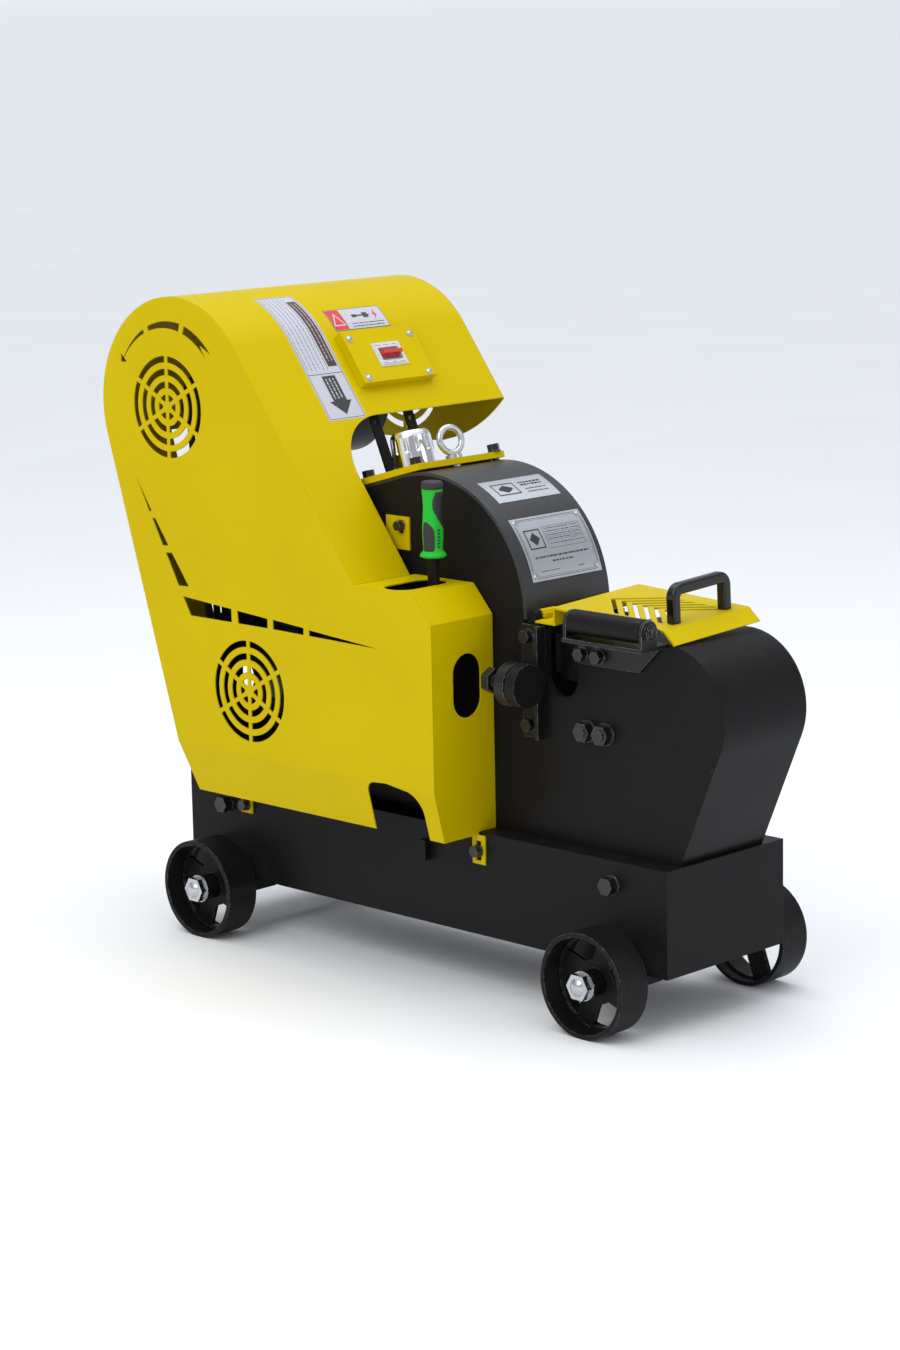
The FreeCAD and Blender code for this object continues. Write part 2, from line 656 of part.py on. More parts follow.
ram_low = "blade_middle - ram_height / 2"
ram_high = "blade_middle + ram_height / 2"
ram_near = "shear_plane - ram_half_width"
ram_far = "shear_plane + ram_half_width"
rod_near = "shear_plane - rod_thick / 2"
rod_far = "shear_plane + rod_thick / 2"
guides = [
    box(("150", f"-({inside_width})", f"{ram_low} - guide_height"),
        ("224", "12", f"{ram_low} - running_gap")),
    box(("150", f"-({inside_width})", f"{ram_high} + running_gap"),
        ("224", "12", "front_top - 1")),
]
node(group(*guides), "ram_guides")

ram_block = box(("ram_back", ram_near, ram_low), ("ram_front", ram_far, ram_high))
fork = box(("ram_back - 1", f"{rod_near} - 0.3", f"{ram_low} - 1"),
           ("pin_x + 27", f"{rod_far} + 0.3", f"{ram_high} + 1"))
pin_bore = rod(("pin_x", "-60", "blade_middle"), (0, 1, 0), "pin_radius", "120")
node(cut(ram_block, fork, pin_bore), "ram")

moving_blade = box(
    ("ram_front", "shear_plane - 0.3 - blade_thick", blade_low),
    ("fixed_blade_face - blade_gap", "shear_plane - 0.3", blade_high),
)
node(moving_blade, "moving_blade")


def stadium(radius, low, high, along="crank_x - crank_throw", up="crank_z"):
    """An upright slot shape round the cam, as tall as the cam rises over the top."""
    length = f"({high}) - ({low})"
    return fuse(
        rod((along, low, up), (0, 1, 0), radius, length),
        rod((along, low, f"{up} + crank_throw"), (0, 1, 0), radius, length),
        box((f"{along} - ({radius})", low, up), (f"{along} + {radius}", high, f"{up} + crank_throw")),
    )


shank = box(("30", rod_near, "blade_middle - 16"), ("pin_x", rod_far, "blade_middle + 20"))
small_end = rod(("pin_x", rod_near, "blade_middle"), (0, 1, 0), "24", "rod_thick")
pin_hole = rod(("pin_x", "-60", "blade_middle"), (0, 1, 0), "pin_radius", "120")
big_end = stadium("window_radius + 16", rod_near, rod_far)
window = stadium("window_radius", f"{rod_near} - 1", f"{rod_far} + 1")
wrist_pin = rod(("pin_x", ram_near, "blade_middle"), (0, 1, 0), "pin_radius", "2 * ram_half_width")
node(group(cut(fuse(big_end, shank, small_end), window, pin_hole), wrist_pin), "connecting_rod")

# ---------------------------------------------------------------- crank, gears and shafts
full_width = "2 * body_half_width"
shaft = rod(("crank_x", "-body_half_width", "crank_z"), (0, 1, 0), "crank_radius", full_width)
cam = rod(("crank_x - crank_throw", f"{rod_near} - 2", "crank_z"), (0, 1, 0), "cam_radius",
          "rod_thick + 4")
collar = rod(("crank_x", "68", "crank_z"), (0, 1, 0), "crank_radius + 8", "11")
rod_bore = rod(("crank_x", "-body_half_width - 1", "crank_z"), (0, 1, 0),
               "clutch_rod + running_gap", "34")
node(cut(fuse(shaft, cam, collar), rod_bore), "eccentric_shaft")


def gear(teeth, module, centre, low, high, bore, mesh_angle, gap_first):
    """A spur gear with straight-flanked teeth; a tooth or a gap faces its mate at mesh_angle."""
    pitch = teeth * module / 2
    step = 2 * math.pi / teeth
    phase = math.radians(mesh_angle) + (step / 2 if gap_first else 0)
    points = []
    for tooth in range(teeth):
        middle = phase + tooth * step
        for radius, half in (
            (pitch - 1.25 * module, 0.36), (pitch - 0.1 * module, 0.225), (pitch + module, 0.11),
        ):
            points.append((radius, middle - half * step))
        for radius, half in (
            (pitch + module, 0.11), (pitch - 0.1 * module, 0.225), (pitch - 1.25 * module, 0.36),
        ):
            points.append((radius, middle + half * step))
    rim = [
        Vector(centre.x + radius * math.cos(angle), low, centre.z + radius * math.sin(angle))
        for radius, angle in points
    ]
    face = Part.Face(Part.makePolygon(rim + rim[:1]))
    blank = face.extrude(Vector(0, high - low, 0))
    if not bore:
        return blank
    hole = Part.makeCylinder(bore, high - low, Vector(centre.x, low, centre.z), Vector(0, 1, 0))
    return blank.cut(hole)


def shape(solid):
    feature = doc.addObject("Part::Feature", "Shaped")
    feature.Shape = solid
    return feature


def heading(start, end):
    return math.degrees(math.atan2(end.z - start.z, end.x - start.x))


def drum(centre, radius, low, high):
    return Part.makeCylinder(radius, high - low, Vector(centre.x, low, centre.z), Vector(0, 1, 0))


def teeth_of(stage, kind):
    return int(value(f"{stage}_{kind}_teeth")), value(f"{stage}_module")


half_width = value("body_half_width")
to_middle = heading(INPUT, MIDDLE)
to_crank = heading(MIDDLE, CRANK)
first_gear = gear(*teeth_of("first", "gear"), MIDDLE, -70, -40, value("middle_radius"),
                  to_middle + 180, True)
second_pinion = gear(*teeth_of("second", "pinion"), MIDDLE, 14, 66, 0, to_crank, False)
middle_shaft = drum(MIDDLE, value("middle_radius"), -half_width, half_width)
middle_shaft = middle_shaft.fuse(second_pinion).removeSplitter()
node(shape(Part.makeCompound([first_gear, middle_shaft])), "intermediate_gear_shaft")

crank_gear = gear(*teeth_of("second", "gear"), CRANK, 15, 65, value("crank_radius + running_gap"),
                  to_crank + 180, True)
dish = drum(CRANK, 145, 5, 27).cut(drum(CRANK, 55, 5, 27))
dish = dish.fuse(drum(CRANK, 145, 53, 70).cut(drum(CRANK, 55, 53, 70)))
node(shape(crank_gear.cut(dish)), "crank_gear")

first_pinion = gear(*teeth_of("first", "pinion"), INPUT, -72, -38, 0, to_middle, False)
input_shaft = drum(INPUT, value("input_radius"), value("pulley_face") - 6, half_width)
node(shape(input_shaft.fuse(first_pinion).removeSplitter()), "input_shaft")


def pulley(radius, bore, web):
    """A three-groove belt pulley turned about Y, with its web thinned when it is large."""
    width = "pulley_width"
    rim = f"{radius} - groove_depth - 9"
    hub = "input_radius + 24"
    near_web = f"{width} / 2 - 7"
    far_web = f"{width} / 2 + 7"
    profile = [("0", bore)]
    if web:
        profile += [("0", hub), (near_web, hub), (near_web, rim), ("0", rim)]
    profile += [("0", radius)]
    for groove in range(3):
        middle = f"{width} / 2 + {groove - 1} * groove_pitch"
        profile += [
            (f"{middle} - groove_width / 2", radius),
            (f"{middle} - groove_width / 4", f"{radius} - groove_depth"),
            (f"{middle} + groove_width / 4", f"{radius} - groove_depth"),
            (f"{middle} + groove_width / 2", radius),
        ]
    profile += [(width, radius)]
    if web:
        profile += [(width, rim), (far_web, rim), (far_web, hub), (width, hub)]
    return turned(profile + [(width, bore)])


lightening = [
    rod((f"105 * cos({angle})", "-5", f"105 * sin({angle})"), (0, 1, 0), "26", "70")
    for angle in range(0, 360, 60)
]
large_pulley = cut(pulley("pulley_large", "input_radius", True), *lightening)
node(large_pulley, "belt_pulley", ("input_x", "pulley_face", "input_z"))

small_pulley = place(
    pulley("pulley_small", "motor_shaft", False), ("motor_x", "pulley_face", "motor_z")
)
motor_shaft = rod(("motor_x", "pulley_face - 6", "motor_z"), (0, 1, 0), "motor_shaft",
                  "motor_front + 30 - pulley_face")
node(group(small_pulley, motor_shaft), "motor_pulley")


def belt(middle):
    """A closed belt round both pulleys, lying in its grooves."""
    large = value("pulley_large")
    small = value("pulley_small")
    thick = value("belt_thick")
    motor = Vector(value("motor_x"), 0, value("motor_z"))
    reach = motor - INPUT
    towards = math.atan2(reach.z, reach.x)
    spread = math.acos((large - small) / reach.Length)
    low = middle - value("groove_width") / 2 + 3
    loops = []
    for offset in (0, -thick):
        def rim(centre, radius, angle):
            size = radius + offset
            return Vector(centre.x + size * math.cos(angle), low, centre.z + size * math.sin(angle))
        left = towards + spread
        right = towards - spread
        edges = [
            Part.Arc(rim(INPUT, large, left), rim(INPUT, large, towards + math.pi),
                     rim(INPUT, large, right)).toShape(),
            Part.LineSegment(rim(INPUT, large, right), rim(motor, small, right)).toShape(),
            Part.Arc(rim(motor, small, right), rim(motor, small, towards),
                     rim(motor, small, left)).toShape(),
            Part.LineSegment(rim(motor, small, left), rim(INPUT, large, left)).toShape(),
        ]
        loops.append(Part.Face(Part.Wire(edges)))
    band = loops[0].cut(loops[1])
    return band.extrude(Vector(0, value("groove_width") - 6, 0))


belt_middle = value("pulley_face + pulley_width / 2")
belts = [belt(belt_middle + step * value("groove_pitch")) for step in (-1, 0, 1)]
node(shape(Part.makeCompound(belts)), "drive_belts")

# ---------------------------------------------------------------- motor
MOTOR = ("motor_x", "motor_z")
casing = rod(("motor_x", "motor_front + 28", "motor_z"), (0, 1, 0), "motor_radius - 8",
             "motor_back - motor_front - 56")
shield = rod(("motor_x", "motor_front", "motor_z"), (0, 1, 0), "motor_radius - 2", "28")
cowl = rod(("motor_x", "motor_back - 68", "motor_z"), (0, 1, 0), "motor_radius", "68")
fins = []
for step in range(30):
    angle = step * 12
    fin = box(("0", "motor_front + 28", "-1.5"), ("motor_radius", "motor_back - 68", "1.5"))
    fin.Placement = Placement(Vector(), Rotation(Vector(0, 1, 0), angle))
    fin.setExpression("Placement.Base.x", rule("motor_x"))
    fin.setExpression("Placement.Base.y", rule("motor_front + 28"))
    fin.setExpression("Placement.Base.z", rule("motor_z"))
    fins.append(fin)
feet = box(("motor_x - 70", "motor_front + 40", "bed_top"),
           ("motor_x + 70", "motor_back - 80", "motor_z - motor_radius + 22"))
terminal_box = box(("motor_x - 45", "motor_front + 20", "motor_z + motor_radius - 14"),
                   ("motor_x + 45", "motor_front + 95", "motor_z + motor_radius + 34"))
shaft_bore = rod(("motor_x", "motor_front - 1", "motor_z"), (0, 1, 0),
                 "motor_shaft + running_gap", "32")
node(cut(fuse(casing, shield, cowl, feet, terminal_box, *fins), shaft_bore), "motor_housing")

bed = box(("stand_back - 20", "stand_near", "bed_top - stand_plate"),
          ("stand_front + 30", "stand_far", "bed_top"))
uprights = [
    box(("stand_back", near, "base_top"), ("stand_front", far, "bed_top - stand_plate"))
    for near, far in (("stand_near", "stand_near + 10"), ("stand_far - 10", "stand_far"))
]
lighten = rod(("(stand_back + stand_front) / 2", "-100", "600"), (0, 1, 0), "38", "200")
lighten_low = rod(("(stand_back + stand_front) / 2", "-100", "420"), (0, 1, 0), "38", "200")
brace = box(("stand_front", "stand_near", "620"), ("stand_front + 6", "stand_far", "700"))
node(cut(fuse(bed, *uprights, brace), lighten, lighten_low), "motor_stand")

# ---------------------------------------------------------------- hood
HOOD = ("hood_x", "hood_z")
BACK_ANGLE = "180 + back_tilt"


def slope_point(inset):
    return polar(HOOD, f"hood_radius - {inset}", "slope_normal")


def slope_foot(inset, height):
    along, up = slope_point(inset)
    return (f"{along} + ({up} - ({height})) * tan(slope_normal)", height)


def back_point(inset):
    return polar(HOOD, f"hood_radius - {inset}", BACK_ANGLE)


def back_foot(inset, height):
    along, up = back_point(inset)
    return (f"{along} + ({up} - ({height})) * tan(back_tilt)", height)


def grille(along, up, start):
    """Four rings of slots, crossed by three bridges: the cutting tool for one vent."""
    rings = [
        ring((along, start, up), (0, 1, 0), f"{step} * grille_step", f"{step} * grille_step - 10", "12")
        for step in (1, 2, 3, 4)
    ]
    bridges = []
    for angle in (90, 30, 150):
        bar = box(("0", "0", "0"), ("180", "14", "grille_bridge"))
        turn = Rotation(Vector(0, 1, 0), -angle)
        bar.Placement = Placement(Vector(), turn)
        cosine = math.cos(math.radians(angle))
        sine = math.sin(math.radians(angle))
        half = "grille_bridge / 2"
        bar.setExpression("Placement.Base.x", rule(f"{along} - 90 * {cosine:.6f} + {half} * {sine:.6f}"))
        bar.setExpression("Placement.Base.y", rule(f"{start} - 1"))
        bar.setExpression("Placement.Base.z", rule(f"{up} - 90 * {sine:.6f} - {half} * {cosine:.6f}"))
        bridges.append(bar)
    return cut(fuse(*rings), *bridges)


def slit(*corners):
    """A straight-sided slot through the near panel."""
    return plate([(str(along), str(up)) for along, up in corners], "hood_near - 4", "hood_near + 6")


def arrow_piece(start, end, reach_start, reach_end, *tail):
    """One piece of the curved arrow above the upper vent, with its outside radius at each end."""
    centre = ("grille_upper_x", "grille_upper_z")
    outline = [
        (*polar(centre, reach_start, start), "arrow_arc"), polar(centre, reach_end, end),
        (*polar(centre, "arrow_radius", end), "-arrow_radius"), polar(centre, "arrow_radius", start),
        *tail,
    ]
    return plate(outline, "hood_near - 4", "hood_near + 6")


arrow = [
    arrow_piece("39.5", "70.5", "137.6", "136.8", ("-350", "959")),
    arrow_piece("75", "108.7", "136.6", "131.2"),
    arrow_piece("113.7", "145", "130.2", "124.8"),
    slit((-540, 938), (-540, 924), (-526, 925), (-533, 931)),
]
back_slits = [
    slit((-514, 744), (-479, 691), (-485, 690)),
    slit((-478, 679), (-471, 680), (-441, 639), (-455, 638)),
    slit((-448, 627), (-433, 628), (-395, 578), (-420, 577)),
]
low_slits = [
    slit((-410, 561), (-296, 553), (-296, 532), (-393, 532)),
    slit((-283, 552), (-213, 547), (-213, 532), (-281, 532)),
    slit((-201, 547), (-132, 542), (-132, 531), (-201, 532)),
    slit((-120, 540), (31, 529), (-120, 531)),
]
hatch = plate(
    [("-3", "235"), ("113", "235"), ("112", "278", "38"), ("86", "318"), ("40", "325"),
     ("14", "323", "18"), ("-3", "304")],
    "hood_near - 4", "hood_near + 40",
)

near_outline = [
    back_foot("0", "fold_height"), ("pocket_front", "fold_height"),
    ("pocket_front", "pocket_shoulder"), ("pocket_edge", "pocket_top"),
    slope_foot("0", "pocket_top"), (*slope_point("0"), "hood_radius"), back_point("0"),
]
near_sheet = plate(near_outline, "hood_near", "hood_near + hood_sheet")
fold_outline = [
    ("hood_near", "fold_height"), ("hood_near + fold_inset", "hood_foot"),
    ("hood_near + fold_inset + hood_sheet", "hood_foot"), ("hood_near + hood_sheet", "fold_height"),
]
fold_start = back_foot("0", "fold_height")[0]
folded = plate(fold_outline, fold_start, "pocket_front", "YZ_Plane")
fold_trim = plate(
    [back_foot("0", "fold_height + 1"), back_foot("0", "hood_foot - 1"),
     (f"{fold_start} - 5", "hood_foot - 1"), (f"{fold_start} - 5", "fold_height + 1")],
    "hood_near - 2", "hood_near + 40",
)
vents = [
    grille("grille_upper_x", "grille_upper_z", "hood_near - 4"),
    grille("grille_lower_x", "grille_lower_z", "hood_near - 4"),
]
near_panel = cut(
    fuse(near_sheet, cut(folded, fold_trim)), hatch, *vents, *arrow, *back_slits, *low_slits
)
node(near_panel, "hood_panel_near")

far_outline = [
    back_foot("0", "far_panel_foot"), ("-330", "far_panel_foot"),
    ("-300", "far_panel_foot + 8", "260"), slope_foot("0", "hood_z - 16"),
    (*slope_point("0"), "hood_radius"), back_point("0"),
]
far_sheet = plate(far_outline, "hood_far - hood_sheet", "hood_far")
node(cut(far_sheet, grille("hood_x", "hood_z", "hood_far - 6")), "hood_panel_far")


def below_fold(start, end):
    """The wedge outside the folded-in foot of the hood, cut from the strips that meet it."""
    outline = [
        ("hood_near - 1", "fold_height"), ("hood_near + hood_sheet", "fold_height"),
        ("hood_near + fold_inset + hood_sheet", "hood_foot"),
        ("hood_near + fold_inset + hood_sheet", "hood_foot - 30"),
        ("hood_near - 1", "hood_foot - 30"),
    ]
    return plate(outline, start, end, "YZ_Plane")


def over_base():
    """The space above the base's edge that the hood's strips stop short of."""
    return box(("-600", "-base_half_width - 1", "200"), ("200", "0", "base_top + 0.3"))


INSET = "hood_sheet"
wrap_strip = [
    slope_foot("0", "pocket_top"), (*slope_point("0"), "hood_radius"), back_point("0"),
    back_foot("0", "hood_foot"), back_foot(INSET, "hood_foot"),
    (*back_point(INSET), f"-(hood_radius - {INSET})"), slope_point(INSET),
    slope_foot(INSET, "pocket_top"),
]
wrap_sheet = plate(wrap_strip, "hood_near + hood_sheet", "hood_far - hood_sheet")
notch = plate(
    [("notch_start + notch_radius", "notch_inner"), ("460", "notch_inner"), ("460", "310"),
     ("notch_start", "310"), ("notch_start", "notch_inner + notch_radius", "notch_radius")],
    "-30", "30", "XY_Plane",
)
notch.Placement = Placement(Vector(), Rotation(Vector(0, 1, 0), 90 - value("slope_normal")))
slope_top = slope_point("0")
lift = "30"
notch.setExpression("Placement.Base.x", rule(f"{slope_top[0]} - {lift} * cos(slope_normal)"))
notch.setExpression("Placement.Base.y", "0")
notch.setExpression("Placement.Base.z", rule(f"{slope_top[1]} - {lift} * sin(slope_normal)"))
back_cut = box(("-620", "guard_inner", "200"), ("-380", "hood_far + 5", "back_wrap_end"))
node(cut(wrap_sheet, notch, back_cut, below_fold("-600", "-380"), over_base()), "hood_wrap")

pocket_strip = [
    slope_foot("0", "pocket_top"), ("pocket_edge", "pocket_top"), ("pocket_front", "pocket_shoulder"),
    ("pocket_front", "hood_foot"), ("pocket_front - hood_sheet", "hood_foot"),
    ("pocket_front - hood_sheet", "pocket_shoulder - 0.8"),
    ("pocket_edge - 0.8", "pocket_top - hood_sheet"),
    (f"{slope_foot('0', 'pocket_top')[0]} - 1", "pocket_top - hood_sheet"),
]
pocket_strip = list(reversed(pocket_strip))
pocket_sheet = plate(pocket_strip, "hood_near + hood_sheet", "guard_inner")
lever_slot = fuse(
    rod(("slot_x", "-190", "pocket_top - 10"), (0, 0, 1), "slot_radius", "20"),
    rod(("slot_x", "-135", "pocket_top - 10"), (0, 0, 1), "slot_radius", "20"),
    box(("slot_x - slot_radius", "-190", "pocket_top - 10"),
        ("slot_x + slot_radius", "-135", "pocket_top + 10")),
)
side_hole = fuse(
    rod(("pocket_front - 10", "-152", "457"), (1, 0, 0), "29", "20"),
    rod(("pocket_front - 10", "-152", "496"), (1, 0, 0), "29", "20"),
    box(("pocket_front - 10", "-181", "457"), ("pocket_front + 10", "-123", "496")),
)
node(cut(pocket_sheet, lever_slot, side_hole, below_fold("100", "160"), over_base()), "hood_pocket")


def slotted_tab(along, face, low, high, width, slot_low, slot_high):
    """A welded fixing tab with an upright slot, lying on a side face."""
    tab = box((f"{along} - {width} / 2", f"{face} - 3", low), (f"{along} + {width} / 2", face, high))
    slot = box((f"{along} - 5", f"{face} - 5", slot_low), (f"{along} + 5", f"{face} + 2", slot_high))
    return cut(tab, slot)


tabs = [
    slotted_tab("144", "-base_half_width", "200", "hood_foot", "26", "206", "236"),
    fuse(
        slotted_tab("-377", "-base_half_width", "198", "hood_foot", "26", "204", "226"),
        box(("-390", "hood_near + fold_inset + hood_sheet", "hood_foot"),
            ("-364", "-base_half_width", "hood_foot + 3")),
    ),
    cut(box(("-80", "-95", "655"), ("-30", "-body_half_width", "706")),
        box(("-52", "-97", "680"), ("-42", "-90", "700"))),
]
node(group(*tabs), "hood_tabs")


def hood_strut(near):
    """A flat strut that stands on the top plate and leans back to the hood's slope."""
    rest = "deck_plate + 0.2"
    inset = "(hood_sheet + 0.2)"
    outline = [
        deck_point("-119", rest), deck_point("-115", rest),
        slope_foot(inset, "888"), slope_foot(inset, "894"),
    ]
    hole = rod(("-230", f"{near} + strut_width / 2", "829"), (1, 0, 0), "4", "80")
    return cut(plate(outline, near, f"{near} + strut_width"), hole)


node(group(hood_strut("-10"), hood_strut("66")), "hood_struts")

# ---------------------------------------------------------------- switch box on the slope
SLOPE_TURN = "90 - slope_normal"


def on_slope(thing, name):
    thing.Placement = Placement(Vector(), Rotation(Vector(0, 1, 0), value(SLOPE_TURN)))
    thing.setExpression("Placement.Rotation.Angle", rule(SLOPE_TURN))
    return node(thing, name, (slope_top[0], "0", slope_top[1]))


case = box(("box_start", "box_left", "0"), ("box_end", "box_right", "box_height"))
breaker_hole = box(("breaker_start + 3", "breaker_left + 3", "2"),
                   ("breaker_end - 3", "breaker_right - 3", "box_height + 1"))
on_slope(cut(case, breaker_hole), "switch_box")

frame = box(("breaker_start", "breaker_left", "box_height"),
            ("breaker_end", "breaker_right", "box_height + 1.5"))
module = box(("breaker_start + 3", "breaker_left + 3", "2"),
             ("breaker_end - 3", "breaker_right - 3", "box_height + 3"))
toggle_well = box(("breaker_start + 10", "breaker_left + 8", "box_height - 8"),
                  ("breaker_end - 10", "breaker_right - 8", "box_height + 4"))
on_slope(cut(fuse(frame, module), toggle_well), "breaker_body")

TOGGLE = ("(breaker_start + breaker_end) / 2", "box_height - 3")
hub_length = "breaker_right - breaker_left - 20"
hub = rod((TOGGLE[0], "breaker_left + 10", TOGGLE[1]), (0, 1, 0), "4", hub_length)
paddles = [
    box((f"{TOGGLE[0]} - 2", f"breaker_left + {10 + 15 * step}", TOGGLE[1]),
        (f"{TOGGLE[0]} + 2", f"breaker_left + {20 + 15 * step}", "box_height + 9"))
    for step in range(3)
]
link = box((f"{TOGGLE[0]} - 3", "breaker_left + 10", "box_height + 6"),
           (f"{TOGGLE[0]} + 3", "breaker_right - 10", "box_height + 11"))
on_slope(fuse(hub, *paddles, link), "breaker_toggle")

rear_face = "-base_length / 2"
gland_body = fuse(
    rod((f"{rear_face} - 24", "60", "185"), (1, 0, 0), "gland_thread", "46"),
    hexagon((f"{rear_face} - 9", "60", "185"), (1, 0, 0), "30", "9"),
    hexagon((f"{rear_face} - 22", "60", "185"), (1, 0, 0), "26", "10"),
    hexagon((f"{rear_face} + end_plate", "60", "185"), (1, 0, 0), "30", "6"),
)
gland_bore = rod((f"{rear_face} - 30", "60", "185"), (1, 0, 0), "gland_bore", "60")
node(cut(gland_body, gland_bore), "cable_gland")

# ---------------------------------------------------------------- clutch lever
lever_low = "lever_pivot - 22"
lever_bar = box(
    ("lever_x - lever_width / 2", "lever_y - lever_thick / 2", lever_low),
    ("lever_x + lever_width / 2", "lever_y + lever_thick / 2", "grip_top - 14"),
)
fork_arm = box(("crank_x + clutch_rod + 1", "lever_y - 3", "crank_z - 7"),
               ("lever_x - lever_width / 2 + 1", "lever_y + 3", "crank_z + 7"))
fork_tips = [
    box(("crank_x - 6", "lever_y - 3", low), ("crank_x + clutch_rod + 12", "lever_y + 3", high))
    for low, high in (("crank_z + clutch_rod + 2", "crank_z + clutch_rod + 9"),
                      ("crank_z - clutch_rod - 9", "crank_z - clutch_rod - 2"))
]
fork_back = box(("crank_x + clutch_rod + 3", "lever_y - 3", "crank_z - clutch_rod - 9"),
                ("crank_x + clutch_rod + 12", "lever_y + 3", "crank_z + clutch_rod + 9"))
pivot_boss = rod(("lever_x - lever_width / 2", "lever_y", "lever_pivot"), (1, 0, 0), "12",
                 "lever_width")
pivot_bore = rod(("lever_x - 30", "lever_y", "lever_pivot"), (1, 0, 0), "5 + running_gap", "60")
lever = fuse(lever_bar, pivot_boss, fork_arm, fork_back, *fork_tips)
node(cut(lever, pivot_bore), "lever_bar")

grip_profile = [
    ("0", "grip_bottom"), ("20.5", "grip_bottom"), ("20.5", "grip_bottom + 5"),
    ("grip_radius", "grip_bottom + 13"), ("grip_radius - 1.5", "grip_bottom + 50"),
    ("grip_radius", "grip_bottom + 88"), ("grip_radius + 0.5", "grip_top - 8"),
    ("grip_radius - 3", "grip_top"), ("0", "grip_top"),
]
grip = place(turned(grip_profile, "XZ_Plane", "V_Axis"), ("lever_x", "lever_y", "0"))
grip_socket = box(
    ("lever_x - lever_width / 2", "lever_y - lever_thick / 2", "grip_bottom - 1"),
    ("lever_x + lever_width / 2", "lever_y + lever_thick / 2", "grip_top - 14"),
)
node(cut(grip, grip_socket), "lever_grip")

pivot_plate = box(("lever_x - 30", "lever_y - 12", "lever_pivot - 24"),
                  ("lever_x - 22", "-body_half_width", "lever_pivot + 14"))
pivot_wall = box(("lever_x + 22", "lever_y - 12", "lever_pivot - 24"),
                 ("lever_x + 30", "-body_half_width", "lever_pivot + 14"))
pivot_pin = rod(("lever_x - 34", "lever_y", "lever_pivot"), (1, 0, 0), "5", "68")
node(fuse(pivot_plate, pivot_wall, pivot_pin), "lever_bracket")

rod_end = rod(("crank_x", "lever_y - 18", "crank_z"), (0, 1, 0), "clutch_rod", "88")
flanges = [
    rod(("crank_x", start, "crank_z"), (0, 1, 0), "clutch_rod + 9", "5")
    for start in ("lever_y - 14.5", "lever_y + 9.5")
]
node(fuse(rod_end, *flanges), "clutch_rod")

# ---------------------------------------------------------------- bar stop
STOP_BOLTS = (("220", "553"), ("222", "420"))
stop_leg = box(("206", "-body_half_width - 6", "400"), ("246", "-body_half_width", "570"))
stop_rib = box(("240", "-body_half_width - 17", "400"), ("246", "-body_half_width - 6", "570"))
stop_arm = box(("stop_ring_back", "stop_y + 22", "stop_z - 14"),
               ("stop_ring_front", "-body_half_width", "stop_z + 14"))
stop_ring = rod(("stop_ring_back", "stop_y", "stop_z"), (1, 0, 0), "stop_radius",
                "stop_ring_front - stop_ring_back")
stop_bore = rod(("stop_ring_back - 1", "stop_y", "stop_z"), (1, 0, 0),
                "stop_screw + running_gap", "60")
stop_holes = [rod((along, "-120", up), (0, 1, 0), "6", "40") for along, up in STOP_BOLTS]
node(cut(fuse(stop_leg, stop_rib, stop_arm, stop_ring), stop_bore, *stop_holes), "stop_bracket")

screw_head = hexagon(("stop_ring_back - 41", "stop_y", "stop_z"), (1, 0, 0), "34", "14")
screw_neck = rod(("stop_ring_back - 28", "stop_y", "stop_z"), (1, 0, 0), "stop_screw",
                 "stop_pad_back + 12 - stop_ring_back + 28")
node(fuse(screw_head, screw_neck), "stop_screw")
pad_disc = rod(("stop_pad_back", "stop_y", "stop_z"), (1, 0, 0), "stop_radius",
               "stop_pad_front - stop_pad_back")
pad_bore = rod(("stop_pad_back - 1", "stop_y", "stop_z"), (1, 0, 0),
               "stop_screw + running_gap", "13.3")
node(cut(pad_disc, pad_bore), "stop_pad")

# ---------------------------------------------------------------- support roller
ROLLER_BOLTS = (("327", "538.5"), ("360", "538.5"))
EAR_SPOTS = ("roller_back - roller_ear - 1", "roller_front + 1")
shelf = box((EAR_SPOTS[0], "roller_y - 20", "roller_z - 28"),
            (f"{EAR_SPOTS[1]} + roller_ear", "-body_half_width", "roller_z - 22"))


def roller_ear(start):
    """An upright ear with a round top about the roller's pin."""
    return fuse(
        box((start, "roller_y - 17", "roller_z - 26"),
            (f"{start} + roller_ear", "roller_y + 17", "roller_z")),
        rod((start, "roller_y", "roller_z"), (1, 0, 0), "17", "roller_ear"),
    )


skirt_outline = [
    ("skirt_back", "skirt_bottom"), ("skirt_front - 38", "skirt_bottom"),
    ("skirt_front", "skirt_bottom + 38", "38"), ("skirt_front", "roller_z - 24"),
    ("skirt_back", "roller_z - 24"),
]
skirt = plate(skirt_outline, "-body_half_width - 5", "-body_half_width")
outer_face = f"{EAR_SPOTS[1]} + roller_ear"
boss = rod((outer_face, "roller_y", "roller_z"), (1, 0, 0), "12", "5")
pin_nut = hexagon((f"{outer_face} + 5", "roller_y", "roller_z"), (1, 0, 0), "16", "6")
pin = rod(("roller_back - 10", "roller_y", "roller_z"), (1, 0, 0), "roller_axle",
          "roller_front - roller_back + 34")
bracket_holes = [rod((along, "-120", up), (0, 1, 0), "6", "40") for along, up in ROLLER_BOLTS]
ears = [roller_ear(start) for start in EAR_SPOTS]
node(cut(fuse(shelf, *ears, skirt, boss, pin_nut, pin), *bracket_holes), "roller_bracket")

tube_profile = [
    ("roller_back", "roller_radius"), ("roller_front - 4", "roller_radius"),
    ("roller_front", "roller_radius - 3"), ("roller_front", "roller_axle + running_gap"),
    ("roller_back", "roller_axle + running_gap"),
]
tube = turned(tube_profile, "XZ_Plane", "H_Axis")
node(place(tube, ("0", "roller_y", "roller_z")), "support_roller")

